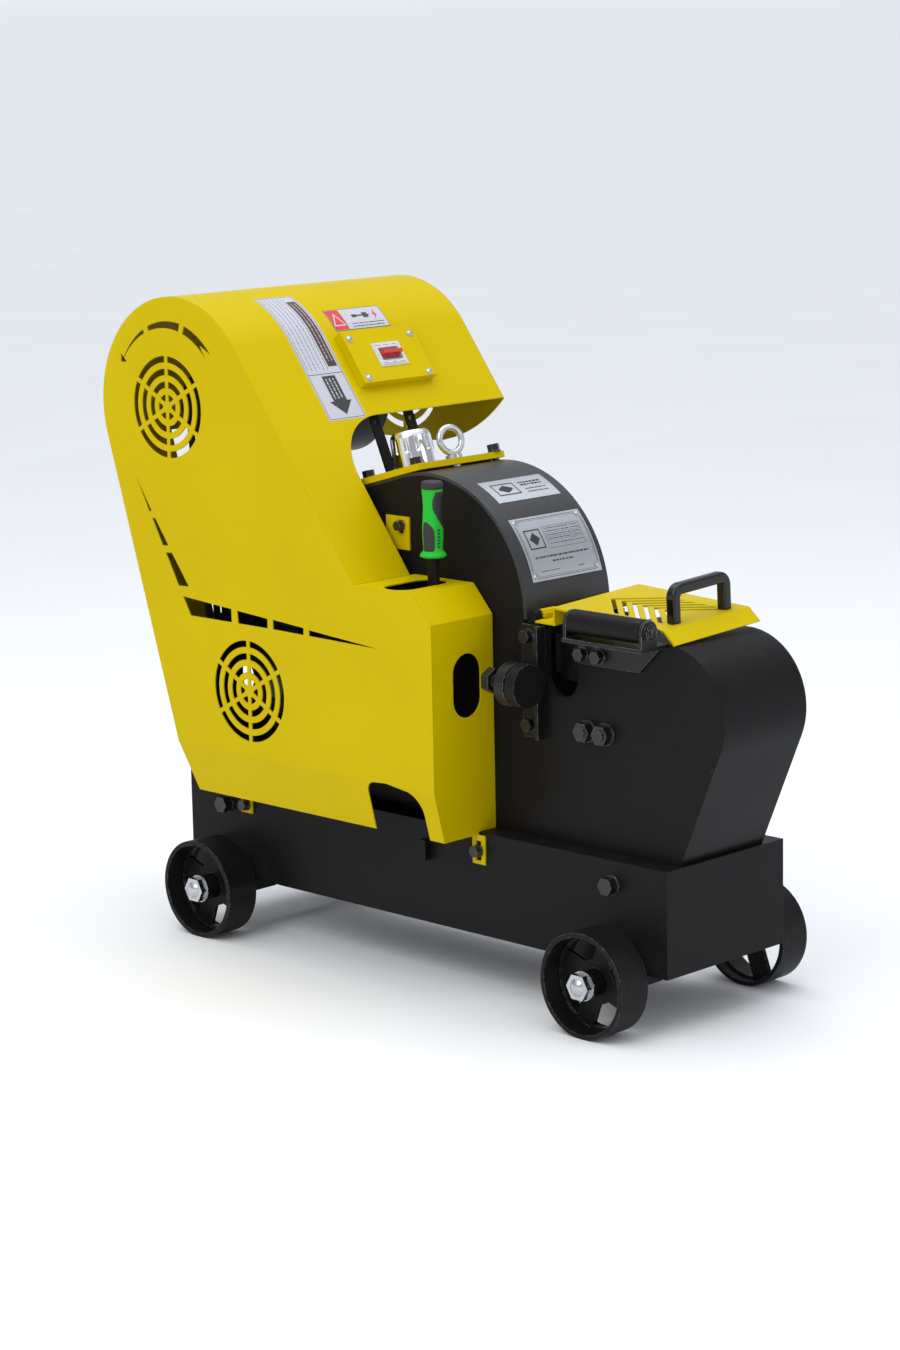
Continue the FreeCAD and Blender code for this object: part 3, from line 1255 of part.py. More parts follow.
# ---------------------------------------------------------------- vented cover
cover_outline = [
    ("cover_hinge_x + 8", "cover_low"), ("cover_step + 3", "cover_low"),
    ("cover_step + 3", "cover_high - 3"), ("cover_fold", "cover_fold_z - 3"),
    ("cover_lip - 3", "cover_lip_z"), ("cover_lip", "cover_lip_z + 1.5"),
    ("cover_fold + 1", "cover_fold_z"), ("cover_step", "cover_high"),
    ("cover_step", "cover_low + 3"), ("cover_hinge_x + 8", "cover_low + 3"),
]
cover_sheet = plate(cover_outline, "-cover_half_width", "cover_half_width")


def chevron(step):
    """One bent vent slot, with its point towards the gearbox."""
    tip = f"chevron_start + {step} * chevron_pitch"
    back = f"{tip} + chevron_width"
    reach = "chevron_reach"
    outline = [
        (tip, "0"), (f"{tip} + {reach}", f"-{reach}"), (f"{back} + {reach}", f"-{reach}"),
        (back, "0"), (f"{back} + {reach}", reach), (f"{tip} + {reach}", reach),
    ]
    return plate(outline, "cover_fold_z - 12", "cover_high + 6", "XY_Plane")


knuckles = [
    fuse(
        rod(("cover_hinge_x", start, "cover_hinge_z"), (0, 1, 0), "6", "30"),
        box(("cover_hinge_x", start, "cover_hinge_z - 6"),
            ("cover_hinge_x + 12", f"{start} + 30", "cover_hinge_z + 1")),
    )
    for start in ("-75", "45")
]
hinge_bore = rod(("cover_hinge_x", "-100", "cover_hinge_z"), (0, 1, 0), "3 + running_gap", "200")
chevrons = [chevron(step) for step in range(6)]
# The sheet sits slightly rolled about the machine's length: its near edge rests lower on the nose.
rolled_sheet = place(
    cut(cover_sheet, *chevrons),
    ("0", "cover_low * sin(cover_roll)", "cover_low * (1 - cos(cover_roll))"), (1, 0, 0), "cover_roll"
)
node(cut(fuse(rolled_sheet, *knuckles), hinge_bore), "vent_cover")

hinge_pin = rod(("cover_hinge_x", "-82", "cover_hinge_z"), (0, 1, 0), "3", "164")
hinge_lugs = [
    fuse(
        rod(("cover_hinge_x", start, "cover_hinge_z"), (0, 1, 0), "6", "14"),
        box(("cover_hinge_x - 6", start, "front_top + 4"),
            ("cover_hinge_x + 6", f"{start} + 14", "cover_hinge_z")),
    )
    for start in ("-92", "-44", "30", "78")
]
hinge_rail = box(("cover_hinge_x - 10", "-body_half_width", "front_top"),
                 ("cover_hinge_x + 7", "body_half_width", "front_top + 5"))
node(fuse(hinge_pin, hinge_rail, *hinge_lugs), "cover_hinge")


def d_handle():
    """A bow handle: a square bar with rounded corners, bent down to a foot at each end."""
    reach, top = value("handle_half_span"), value("handle_height")
    bend = 13
    mid = bend * (1 - math.sqrt(0.5))
    half, soft = value("handle_bar") / 2, 5
    straight = half - soft
    path = Part.Wire([
        Part.LineSegment(Vector(0, -reach, 0), Vector(0, -reach, top - bend)).toShape(),
        Part.Arc(Vector(0, -reach, top - bend), Vector(0, -reach + mid, top - mid),
                 Vector(0, -reach + bend, top)).toShape(),
        Part.LineSegment(Vector(0, -reach + bend, top), Vector(0, reach - bend, top)).toShape(),
        Part.Arc(Vector(0, reach - bend, top), Vector(0, reach - mid, top - mid),
                 Vector(0, reach, top - bend)).toShape(),
        Part.LineSegment(Vector(0, reach, top - bend), Vector(0, reach, 0)).toShape(),
    ])
    edges = []
    diagonal = soft * math.sqrt(0.5)
    for quarter in range(4):
        turn = Rotation(Vector(0, 0, 1), 90 * quarter)
        start, end = Vector(half, -straight, 0), Vector(half, straight, 0)
        arc_middle = Vector(straight + diagonal, straight + diagonal, 0)
        arc_end = Vector(straight, half, 0)
        start, end, arc_middle, arc_end = (
            turn.multVec(point) + Vector(0, -reach, 0) for point in (start, end, arc_middle, arc_end)
        )
        edges.append(Part.LineSegment(start, end).toShape())
        edges.append(Part.Arc(end, arc_middle, arc_end).toShape())
    return path.makePipeShell([Part.Wire(edges)], True, True)


cover_fall = "(cover_high - cover_fold_z) / (cover_fold - cover_step)"
handle_seat = f"cover_high - {cover_fall} * (handle_x - cover_step)"
handle = place(shape(d_handle()), ("handle_x", "handle_y", f"{handle_seat} + 0.9"), (1, 0, 0), "cover_roll")
node(handle, "cover_handle")

# ---------------------------------------------------------------- fasteners
bolts = []
for along, up in BASE_BOLTS:
    for side in (-1, 1):
        bolts.append(bolt((along, f"{side} * base_half_width", up), (0, side, 0), "24", "14"))
for along, up in HOOD_BASE_BOLTS:
    bolts.append(bolt((along, "-base_half_width - 3", up), (0, -1, 0), "16", "14"))
for distance, across in DECK_BOLTS:
    spot = deck_point(distance, "deck_plate")
    bolts.append(bolt((spot[0], across, spot[1]), DECK_UP, "17", "deck_plate + arch_sheet"))
for along, up in STOP_BOLTS:
    bolts.append(bolt((along, "-body_half_width - 6", up), (0, -1, 0), "18", "6"))
for along, up in ROLLER_BOLTS:
    bolts.append(bolt((along, "-body_half_width - 5", up), (0, -1, 0), "18", "5"))
bolts.append(bolt(("-47", "-95", "692"), (0, -1, 0), "14", "3"))
node(group(*bolts), "hex_bolts")

# ---------------------------------------------------------------- check and write
doc.recompute()
os.makedirs("parts", exist_ok=True)
failed = [item.Label for item in doc.Objects if {"Invalid", "Error"} & set(item.State)]
for item in nodes:
    if item.Shape.isNull() or not item.Shape.isValid():
        failed.append(item.Label)
if failed:
    raise RuntimeError("failed: " + ", ".join(sorted(set(failed))))
for item in nodes:
    item.Shape.exportStep(f"parts/{item.Label}.step")
low = [min(getattr(item.Shape.BoundBox, side) for item in nodes) for side in ("XMin", "YMin", "ZMin")]
high = [max(getattr(item.Shape.BoundBox, side) for item in nodes) for side in ("XMax", "YMax", "ZMax")]
reach = [[round(number, 2) for number in corner] for corner in (low, high)]
print(len(nodes), "nodes from", reach[0], "to", reach[1])
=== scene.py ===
import json
import math
import random

import bmesh
import bpy
from mathutils import Matrix, Vector


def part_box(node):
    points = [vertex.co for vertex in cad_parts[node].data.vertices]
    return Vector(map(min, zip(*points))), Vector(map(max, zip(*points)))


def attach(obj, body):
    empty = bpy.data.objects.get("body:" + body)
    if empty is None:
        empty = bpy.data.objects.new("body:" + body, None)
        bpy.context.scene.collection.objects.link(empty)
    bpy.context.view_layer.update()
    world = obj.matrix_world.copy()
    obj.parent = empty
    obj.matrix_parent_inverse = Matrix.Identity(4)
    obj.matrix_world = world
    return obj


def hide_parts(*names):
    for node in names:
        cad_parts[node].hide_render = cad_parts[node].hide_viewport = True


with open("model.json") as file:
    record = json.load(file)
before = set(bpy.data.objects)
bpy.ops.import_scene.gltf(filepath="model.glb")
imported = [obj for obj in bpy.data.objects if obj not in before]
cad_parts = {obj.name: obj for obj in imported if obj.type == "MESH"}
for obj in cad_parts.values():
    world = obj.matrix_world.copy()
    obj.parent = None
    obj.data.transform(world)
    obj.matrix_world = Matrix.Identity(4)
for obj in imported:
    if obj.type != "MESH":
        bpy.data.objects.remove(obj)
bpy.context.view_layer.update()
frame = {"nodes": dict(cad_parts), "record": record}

MM = 0.001
SCENE = bpy.context.scene
COLOURS = {entry["slot"]: entry["base_color"] for entry in frame["record"]["materials"]}


# ---------------------------------------------------------------- shader helpers

class Graph:
    """The nodes of one procedural material."""

    def __init__(self, name):
        self.material = bpy.data.materials.new(name)
        self.material.use_nodes = True
        self.tree = self.material.node_tree
        self.tree.nodes.clear()
        self.shader = self.node("ShaderNodeBsdfPrincipled")
        output = self.node("ShaderNodeOutputMaterial")
        self.link(self.shader.outputs["BSDF"], output.inputs["Surface"])
        self.position = self.node("ShaderNodeTexCoord").outputs["Object"]

    def node(self, kind, **settings):
        made = self.tree.nodes.new(kind)
        for key, setting in settings.items():
            setattr(made, key, setting)
        return made

    def link(self, source, target):
        self.tree.links.new(source, target)

    def feed(self, target, source):
        """Links a socket, or sets a plain number or colour."""
        if isinstance(source, bpy.types.NodeSocket):
            self.link(source, target)
        else:
            target.default_value = source

    def set(self, socket, source):
        self.feed(self.shader.inputs[socket], source)

    def maths(self, operation, first, second):
        made = self.node("ShaderNodeMath", operation=operation)
        for socket, source in zip(made.inputs, (first, second)):
            self.feed(socket, source)
        return made.outputs[0]

    def stretched(self, scale):
        mapping = self.node("ShaderNodeMapping")
        self.link(self.position, mapping.inputs["Vector"])
        mapping.inputs["Scale"].default_value = scale
        return mapping.outputs[0]

    def noise(self, scale, detail=3.0, roughness=0.55, stretch=None):
        made = self.node("ShaderNodeTexNoise")
        self.link(self.stretched(stretch) if stretch else self.position, made.inputs["Vector"])
        made.inputs["Scale"].default_value = scale
        made.inputs["Detail"].default_value = detail
        made.inputs["Roughness"].default_value = roughness
        return made.outputs["Fac"]

    def span(self, source, low, high, start=0.0, end=1.0):
        """Maps low..high onto start..end, clamped."""
        made = self.node("ShaderNodeMapRange")
        self.link(source, made.inputs["Value"])
        for socket, number in zip(("From Min", "From Max", "To Min", "To Max"), (low, high, start, end)):
            made.inputs[socket].default_value = number
        return made.outputs["Result"]

    def blend(self, amount, first, second):
        made = self.node("ShaderNodeMix", data_type="RGBA")
        self.feed(made.inputs["Factor"], amount)
        self.feed(made.inputs["A"], first)
        self.feed(made.inputs["B"], second)
        return made.outputs["Result"]

    def rounded(self, radius):
        """The surface normal with each edge softened by radius."""
        made = self.node("ShaderNodeBevel", samples=4)
        made.inputs["Radius"].default_value = radius
        return made.outputs["Normal"]

    def edges(self, radius):
        """1 on an outside or inside edge of the shape, 0 on its faces."""
        facing = self.node("ShaderNodeVectorMath", operation="DOT_PRODUCT")
        self.link(self.rounded(radius), facing.inputs[0])
        self.link(self.node("ShaderNodeNewGeometry").outputs["Normal"], facing.inputs[1])
        return self.span(facing.outputs["Value"], 0.995, 0.9)

    def upward(self, low, high):
        """1 where a surface faces up, 0 where it doesn't."""
        split = self.node("ShaderNodeSeparateXYZ")
        self.link(self.node("ShaderNodeNewGeometry").outputs["Normal"], split.inputs[0])
        return self.span(split.outputs["Z"], low, high)

    def relief(self, height, strength, distance, radius=None):
        made = self.node("ShaderNodeBump")
        made.inputs["Strength"].default_value = strength
        made.inputs["Distance"].default_value = distance
        self.link(height, made.inputs["Height"])
        if radius:
            self.link(self.rounded(radius), made.inputs["Normal"])
        self.set("Normal", made.outputs["Normal"])


DUST = (0.36, 0.34, 0.3, 1.0)
TARNISH = (0.2, 0.19, 0.18)


def rgba(colour, factor=1.0):
    """A colour with its alpha, made lighter or darker by a factor."""
    return tuple(min(1.0, channel * factor) for channel in colour[:3]) + (1.0,)


def painted(name, colour, gloss, wear, worn, dust=0.0, grain=0.00012, edge=0.0012, spread=0.12, mirror=0.5):
    """Paint on metal: mottled colour, fine orange peel, worn edges, a few rubbed marks and settled dust."""
    g = Graph(name)
    broad = g.noise(5.0, 4.0)
    speckle = g.noise(170.0, 4.0, 0.7)
    colour_now = g.blend(g.span(broad, 0.3, 0.7), rgba(colour, 1.0 - spread), rgba(colour, 1.0 + spread))
    scuffs = g.span(g.noise(14.0, 8.0, 0.75, (1.0, 1.0, 4.5)), 0.66, 0.74)
    scuffs = g.maths("MULTIPLY", scuffs, g.span(broad, 0.45, 0.6))
    colour_now = g.blend(g.maths("MULTIPLY", scuffs, 0.35), colour_now, rgba(colour, 1.9))
    settled = g.maths("MULTIPLY", g.upward(0.2, 0.95), g.span(g.noise(30.0, 6.0, 0.7), 0.35, 0.75))
    settled = g.maths("MULTIPLY", settled, dust)
    colour_now = g.blend(settled, colour_now, DUST)
    chips = g.maths("MULTIPLY", g.edges(edge), g.span(speckle, 0.62 - wear * 0.3, 0.7 - wear * 0.2))
    colour_now = g.blend(chips, colour_now, rgba(worn))
    g.set("Base Color", colour_now)
    g.set("Metallic", g.maths("MULTIPLY", chips, 0.7))
    sheen = g.span(broad, 0.3, 0.7, gloss - 0.05, gloss + 0.07)
    sheen = g.maths("ADD", sheen, g.maths("MULTIPLY", scuffs, 0.15))
    g.set("Roughness", g.maths("ADD", sheen, g.maths("MULTIPLY", settled, 0.4)))
    g.set("Specular IOR Level", mirror)
    peel = g.maths("ADD", g.noise(520.0, 2.0), g.maths("MULTIPLY", g.noise(60.0, 2.0), 1.5))
    g.relief(peel, 0.35, grain, edge)
    return g.material


def metal(name, colour, gloss, stretch, grain, stain=0.25, edge=0.0006):
    """Bare or plated metal: fine machining lines, stains and small pits."""
    g = Graph(name)
    lines = g.noise(60.0, 4.0, 0.6, stretch)
    patches = g.span(g.noise(35.0, 6.0, 0.7), 0.45, 0.75)
    g.set("Base Color", g.blend(g.maths("MULTIPLY", patches, stain), rgba(colour), rgba(TARNISH)))
    g.set("Metallic", 1.0)
    rough = g.span(lines, 0.3, 0.7, gloss - 0.05, gloss + 0.1)
    g.set("Roughness", g.maths("ADD", rough, g.maths("MULTIPLY", patches, stain * 0.5)))
    pits = g.span(g.noise(300.0, 3.0), 0.35, 0.5)
    g.relief(g.maths("ADD", lines, g.maths("MULTIPLY", pits, 0.6)), 0.3, grain, edge)
    return g.material


def moulded(name, colour, gloss, grain=0.00008, scale=900.0, coat=0.0, mirror=0.5):
    """Moulded plastic or rubber: fine spark texture and a little handling dirt."""
    g = Graph(name)
    dirt = g.span(g.noise(45.0, 6.0, 0.7), 0.4, 0.8)
    g.set("Base Color", g.blend(g.maths("MULTIPLY", dirt, 0.3), rgba(colour), rgba(colour, 0.7)))
    g.set("Roughness", g.span(g.noise(80.0, 3.0), 0.3, 0.7, gloss - 0.05, gloss + 0.08))
    g.set("Specular IOR Level", mirror)
    g.set("Coat Weight", coat)
    g.set("Coat Roughness", 0.15)
    g.relief(g.noise(scale, 2.0), 0.4, grain, 0.0008)
    return g.material


def cast(name, colour, gloss, wear, worn):
    """Cast iron under thin paint: sandy surface, rubbed through in places, with lighter edges that are
    partly painted highlight.
    """
    g = Graph(name)
    broad = g.noise(22.0, 6.0, 0.65)
    sand = g.noise(260.0, 4.0, 0.6)
    colour_now = g.blend(g.span(broad, 0.3, 0.7), rgba(colour, 0.8), rgba(colour, 1.3))
    # Lighter edges: partly rubbed-through paint, partly painted highlight where light catches the rims.
    rubbed_and_highlit = g.maths("MULTIPLY", g.edges(0.0022), g.span(g.noise(110.0, 5.0, 0.7), 0.55 - wear * 0.2, 0.62))
    scrape = g.maths("MULTIPLY", g.span(g.noise(70.0, 8.0, 0.75, (1.0, 3.0, 1.0)), 0.63, 0.69), wear)
    rubbed_and_highlit = g.maths("MAXIMUM", rubbed_and_highlit, scrape)
    g.set("Base Color", g.blend(rubbed_and_highlit, colour_now, rgba(worn)))
    g.set("Metallic", g.maths("MULTIPLY", rubbed_and_highlit, 0.6))
    g.set("Roughness", g.span(sand, 0.3, 0.7, gloss - 0.05, gloss + 0.12))
    g.set("Specular IOR Level", 0.12)
    g.relief(g.maths("ADD", sand, broad), 0.5, 0.00025, 0.0015)
    return g.material


def ink(name, colour, gloss=0.45):
    """Printed ink on a label, with slightly uneven coverage."""
    g = Graph(name)
    cover = g.span(g.noise(240.0, 5.0, 0.7), 0.3, 0.8)
    g.set("Base Color", g.blend(g.maths("MULTIPLY", cover, 0.25), rgba(colour), rgba(colour, 0.8)))
    g.set("Roughness", g.span(g.noise(40.0, 3.0), 0.3, 0.7, gloss - 0.06, gloss + 0.06))
    g.relief(g.noise(700.0, 2.0), 0.2, 0.00003)
    return g.material


def darker(slot, factor):
    """A slot's colour from the record, made darker to suit this studio's strong light."""
    return [factor * channel for channel in COLOURS[slot][:3]]


WORN = (0.16, 0.155, 0.15)
RUBBED_BRIGHT = (0.3, 0.3, 0.3)
BLACK = darker("black_paint", 0.28)
ARCH = darker("arch_black", 0.55)
# Bare steel's colour darkened to suit the strong light: painted shade over the whole part.
STEEL_DARKENED_FOR_LIGHT = darker("bare_steel", 0.3)
YELLOW = (0.92 * COLOURS["hood_yellow"][0], 0.89 * COLOURS["hood_yellow"][1], 0.0)
MATERIALS = {
    "black_paint": painted("black_paint", BLACK, 0.42, 0.15, WORN, dust=0.02, mirror=0.1),
    "arch_black": painted("arch_black", ARCH, 0.34, 0.15, WORN, dust=0.03, mirror=0.35),
    "hood_yellow": painted("hood_yellow", YELLOW, 0.36, 0.05, rgba(YELLOW, 1.3), spread=0.03,
                           grain=0.0001, mirror=0.05),
    "cast_black": cast("cast_black", BLACK, 0.4, 0.5, WORN),
    "chrome": metal("chrome", COLOURS["chrome"], 0.09, (1.0, 1.0, 1.0), 0.00001, stain=0.2, edge=0.0012),
    "zinc": metal("zinc", COLOURS["zinc"], 0.2, (1.0, 1.0, 6.0), 0.00004, stain=0.3),
    "bare_steel": metal("bare_steel", STEEL_DARKENED_FOR_LIGHT, 0.42, (1.0, 9.0, 1.0), 0.00006, stain=0.35),
    "bolt_black": painted("bolt_black", BLACK, 0.3, 0.7, (0.3, 0.3, 0.31), edge=0.0009, grain=0.00006),
    "belt_rubber": moulded("belt_rubber", COLOURS["belt_rubber"], 0.65, scale=500.0, grain=0.0002),
    "grip_green": moulded("grip_green", darker("grip_green", 0.75), 0.42, mirror=0.1),
    "black_plastic": moulded("black_plastic", darker("black_plastic", 0.4), 0.16, mirror=0.4),
    "grey_plastic": moulded("grey_plastic", COLOURS["grey_plastic"], 0.38),
    "red_plastic": moulded("red_plastic", COLOURS["red_plastic"], 0.3, coat=0.2),
    "plate_metal": metal("plate_metal", COLOURS["plate_metal"], 0.32, (1.0, 0.05, 12.0), 0.00003, stain=0.1),
    "bronze": metal("bronze", COLOURS["bronze"], 0.3, (1.0, 9.0, 1.0), 0.00005),
}
GRIP_BLACK = moulded("grip_black", (0.018, 0.018, 0.02), 0.55, grain=0.00015, scale=600.0)
LABEL_WHITE = ink("label_white", (0.5, 0.5, 0.56), 0.5)
LABEL_DARK = ink("label_dark", (0.03, 0.028, 0.03))
LABEL_RED = ink("label_red", (0.6, 0.03, 0.03))
LABEL_PINK = ink("label_pink", (0.55, 0.3, 0.32))
PLATE_INK = ink("plate_ink", (0.02, 0.022, 0.028), 0.7)

for cad_node in frame["nodes"].values():
    for place in cad_node.material_slots:
        place.material = MATERIALS[place.material.name.split(".")[0]]
for scuffed in ("roller_bracket", "stop_bracket"):
    for place in frame["nodes"][scuffed].material_slots:
        place.material = painted(scuffed, BLACK, 0.36, 0.7, RUBBED_BRIGHT, mirror=0.3)


# ---------------------------------------------------------------- mesh helpers

def piece(name, mesh, materials, body, smooth=40.0):
    """Finishes a mesh as a piece that rides on a body."""
    bmesh.ops.recalc_face_normals(mesh, faces=mesh.faces)
    data = bpy.data.meshes.new(name)
    mesh.to_mesh(data)
    mesh.free()
    for material in materials:
        data.materials.append(material)
    made = bpy.data.objects.new(name, data)
    SCENE.collection.objects.link(made)
    data.shade_smooth()
    data.set_sharp_from_angle(angle=math.radians(smooth))
    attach(made, body)
    return made


def slab(mesh, skin, outline, low, high, index=0, step=8.0):
    """A closed thin solid that follows a skin.

    outline is a convex polygon in the skin's (u, v) millimetres, cut across every step millimetres.
    """
    left, right = min(u for u, v in outline), max(u for u, v in outline)
    count = max(1, math.ceil((right - left) / step))
    cuts = [left + (right - left) * number / count for number in range(count + 1)]
    rows = [[crossing(outline, cut, side) for side in (min, max)] for cut in cuts]
    layers = []
    for lift in (low, high):
        layers.append([[mesh.verts.new(skin(cut, v, lift)) for v in row] for cut, row in zip(cuts, rows)])
    bottom, top = layers
    faces = []
    for n in range(count):
        faces.append((top[n][0], top[n + 1][0], top[n + 1][1], top[n][1]))
        faces.append((bottom[n][0], bottom[n][1], bottom[n + 1][1], bottom[n + 1][0]))
        for side in (0, 1):
            faces.append((bottom[n][side], bottom[n + 1][side], top[n + 1][side], top[n][side]))
    for n in (0, count):
        faces.append((bottom[n][0], bottom[n][1], top[n][1], top[n][0]))
    for corners in faces:
        mesh.faces.new(corners).material_index = index


def crossing(outline, cut, pick):
    """The lowest or highest v of a convex outline at u = cut."""
    found = []
    for (u0, v0), (u1, v1) in zip(outline, outline[1:] + outline[:1]):
        if min(u0, u1) - 1e-6 <= cut <= max(u0, u1) + 1e-6:
            if abs(u1 - u0) < 1e-6:
                found += [v0, v1]
            else:
                found.append(v0 + (v1 - v0) * (cut - u0) / (u1 - u0))
    spot = pick(found)
    if max(found) - min(found) < 0.02:
        spot += 0.01 if pick is max else -0.01
    return spot


def bar(mesh, skin, u0, u1, v0, v1, low, high, index=0):
    """A thin rectangle on a skin."""
    slab(mesh, skin, [(u0, v0), (u1, v0), (u1, v1), (u0, v1)], low, high, index)


def frame_lines(mesh, skin, u0, u1, v0, v1, width, low, high, index=0):
    """A printed rectangle outline."""
    bar(mesh, skin, u0, u1, v0, v0 + width, low, high, index)
    bar(mesh, skin, u0, u1, v1 - width, v1, low, high, index)
    bar(mesh, skin, u0, u0 + width, v0 + width, v1 - width, low, high, index)
    bar(mesh, skin, u1 - width, u1, v0 + width, v1 - width, low, high, index)


def text_rows(mesh, skin, u_rows, v0, v1, height, low, high, index, seed, along_v=True):
    """Rows of plain dashes that stand for printed text."""
    dice = random.Random(seed)
    for row in u_rows:
        spot = v0
        while spot < v1:
            length = min(dice.uniform(2.0, 7.5), v1 - spot)
            if length > 1.0:
                if along_v:
                    bar(mesh, skin, row, row + height, spot, spot + length, low, high, index)
                else:
                    bar(mesh, skin, spot, spot + length, row, row + height, low, high, index)
            spot += length + dice.uniform(1.2, 2.0)


def close_rings(mesh, rings):
    """Joins rings of points into a closed solid with flat ends."""
    count = len(rings[0])
    for lower, upper in zip(rings, rings[1:]):
        for n in range(count):
            mesh.faces.new((lower[n], lower[(n + 1) % count], upper[(n + 1) % count], upper[n]))
    mesh.faces.new(rings[0])
    mesh.faces.new(rings[-1])


def disc(mesh, centre, normal, radius, low, high, count=24, dome=0.0):
    """A round solid along normal, from low to high, with an optional domed top."""
    normal = Vector(normal).normalized()
    side = normal.orthogonal().normalized()
    other = normal.cross(side)
    levels = [(low, radius), (high - dome, radius)]
    if dome:
        levels += [(high - dome * (1 - math.sin(t)), radius * math.cos(t)) for t in (0.4, 0.8, 1.2)]
    rings = []
    for height, reach in levels:
        rings.append([
            mesh.verts.new(
                Vector(centre) + normal * height
                + side * reach * math.cos(2 * math.pi * n / count)
                + other * reach * math.sin(2 * math.pi * n / count)
            )
            for n in range(count)
        ])
    close_rings(mesh, rings)


# ---------------------------------------------------------------- hood: labels and screws

# A print layer is (low, high, material index), in millimetres above its skin.

WRAP_LOW, WRAP_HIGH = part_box("hood_wrap")
HOOD_RADIUS = 0.174
HOOD_CENTRE = Vector((WRAP_LOW[0] + HOOD_RADIUS, 0.0, WRAP_HIGH[2] - HOOD_RADIUS))
SLOPE = math.radians(36.76)
DOWN_SLOPE = Vector((math.sin(SLOPE), 0.0, -math.cos(SLOPE)))
OFF_SLOPE = Vector((math.cos(SLOPE), 0.0, math.sin(SLOPE)))
HOOD_NEAR_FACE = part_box("hood_panel_near")[0][1]
HOOD_NEAR = -225.0
LID = 15.0
BREAKER_FACE = 18.0


def hood_skin(down, across, lift):
    """A point on the hood's sheet: down is millimetres below the end of its round top."""
    reach = HOOD_RADIUS + lift * MM
    turn = SLOPE - min(down, 0.0) * MM / HOOD_RADIUS
    spot = HOOD_CENTRE + Vector((reach * math.cos(turn), 0.0, reach * math.sin(turn)))
    spot.y = HOOD_NEAR_FACE + (across - HOOD_NEAR) * MM
    if down > 0.0:
        spot += DOWN_SLOPE * down * MM
    return spot


def long_label():
    """A generic direction label: a text block, a dark band, and an arrow panel below."""
    mesh = bmesh.new()
    paper = (0.02, 0.25, 0)
    ink_layer = (0.2, 0.32, 1)
    band_text = (0.3, 0.4, 2)
    arrow_text = (0.3, 0.4, 3)
    bar(mesh, hood_skin, -101, 149.5, -108, -30, *paper)
    frame_lines(mesh, hood_skin, -99, 147.5, -106, -32, 0.9, *ink_layer)
    bar(mesh, hood_skin, 65.4, 66.6, -105, -33, *ink_layer)
    bar(mesh, hood_skin, -82, 54, -55, -36, *ink_layer)
    text_rows(mesh, hood_skin, (-50, -42.5), -76, 44, 2.2, *band_text, 11, along_v=False)
    rows = [-101 + 8.4 * number for number in range(6)]
    text_rows(mesh, hood_skin, rows, -92, 58, 1.1, *ink_layer, 12, along_v=False)
    bar(mesh, hood_skin, 70, 116, -80, -52, *ink_layer)
    slab(mesh, hood_skin, [(116, -89), (141, -67), (116, -43)], *ink_layer, step=2.5)
    text_rows(mesh, hood_skin, (-75, -67.5, -60), 75, 112, 2.2, *arrow_text, 13, along_v=False)
    inks = [LABEL_WHITE, LABEL_DARK, LABEL_PINK, LABEL_WHITE]
    piece("hood_direction_label", mesh, inks, "frame")


def power_label():
    """A generic red and white label above the switch box: a triangle, a plug, a spark and text rows."""
    mesh = bmesh.new()
    edge = (0.02, 0.25, 2)
    paper = (0.2, 0.3, 0)
    red, dark = (0.26, 0.36, 1), (0.26, 0.36, 2)
    sign, sign_inside = (0.32, 0.42, 0), (0.38, 0.48, 1)
    bar(mesh, hood_skin, -51, -7, -2, 118, *edge)
    bar(mesh, hood_skin, -50, -8, -1, 117, *paper)
    bar(mesh, hood_skin, -49.4, -8.6, -0.4, 29, *red)
    slab(mesh, hood_skin, [(-43, 14), (-16, 1), (-16, 27)], *sign, step=2.5)
    slab(mesh, hood_skin, [(-37.5, 14), (-18.5, 4.5), (-18.5, 23.5)], *sign_inside, step=2.5)
    for plug_part in ((-35, -32, 58, 87), (-39, -28, 73, 84), (-36.5, -30.5, 49, 60)):
        bar(mesh, hood_skin, *plug_part, *dark)
    for spark_half in ([(-45, 102), (-33, 95), (-31, 100)], [(-35, 100), (-22, 95), (-33, 104)]):
        slab(mesh, hood_skin, spark_half, *red, step=2.0)
    text_rows(mesh, hood_skin, (-19, -13.5), 40, 110, 1.8, *dark, 14)
    piece("hood_power_label", mesh, [LABEL_WHITE, LABEL_RED, LABEL_DARK], "frame")


def slope_skin(down, across, lift):
    """A point above the hood's flat slope, also where the box reaches up beside the round top."""
    return hood_skin(0.0, across, lift) + DOWN_SLOPE * down * MM


def lid_screws():
    """Four domed screws on washers, at the corners of the switch box's lid."""
    for number, (down, across) in enumerate(((17.7, 0.5), (19.5, 132), (90.3, 0.2), (92, 131.4)), 1):
        mesh = bmesh.new()
        spot = slope_skin(down, across, 0.0)
        disc(mesh, spot, OFF_SLOPE, 6.2 * MM, LID * MM, (LID + 0.7) * MM)
        disc(mesh, spot, OFF_SLOPE, 4.4 * MM, (LID + 0.4) * MM, (LID + 3.4) * MM, dome=2.4 * MM)
        piece(f"switch_box_screw_{number}", mesh, [MATERIALS["zinc"]], "frame")


def breaker_print():
    """The generic print on the breaker's face: for each pole, a red row above and a dark row below."""
    mesh = bmesh.new()
    low, high = BREAKER_FACE - 0.1, BREAKER_FACE + 0.15
    for pole in range(3):
        start = 43 + 18 * pole
        text_rows(mesh, slope_skin, (36,), start, start + 12, 1.3, low, high, 0, 20 + pole)
        text_rows(mesh, slope_skin, (68.5,), start + 2, start + 10, 1.0, low, high, 1, 30 + pole)
    piece("breaker_print", mesh, [LABEL_RED, LABEL_DARK], "frame")


# ---------------------------------------------------------------- arch: data plates

ARCH_LOW, ARCH_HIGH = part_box("arch_cover")
ARCH_RADIUS = 0.202
ARCH_CENTRE = Vector((ARCH_HIGH[0] - ARCH_RADIUS, 0.0, ARCH_LOW[2]))
ARCH_START = 70.0
PLATE_TOP = 1.0
PLATES_FAR_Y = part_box("name_plates")[1][1]
PLATES_FAR = 81.5


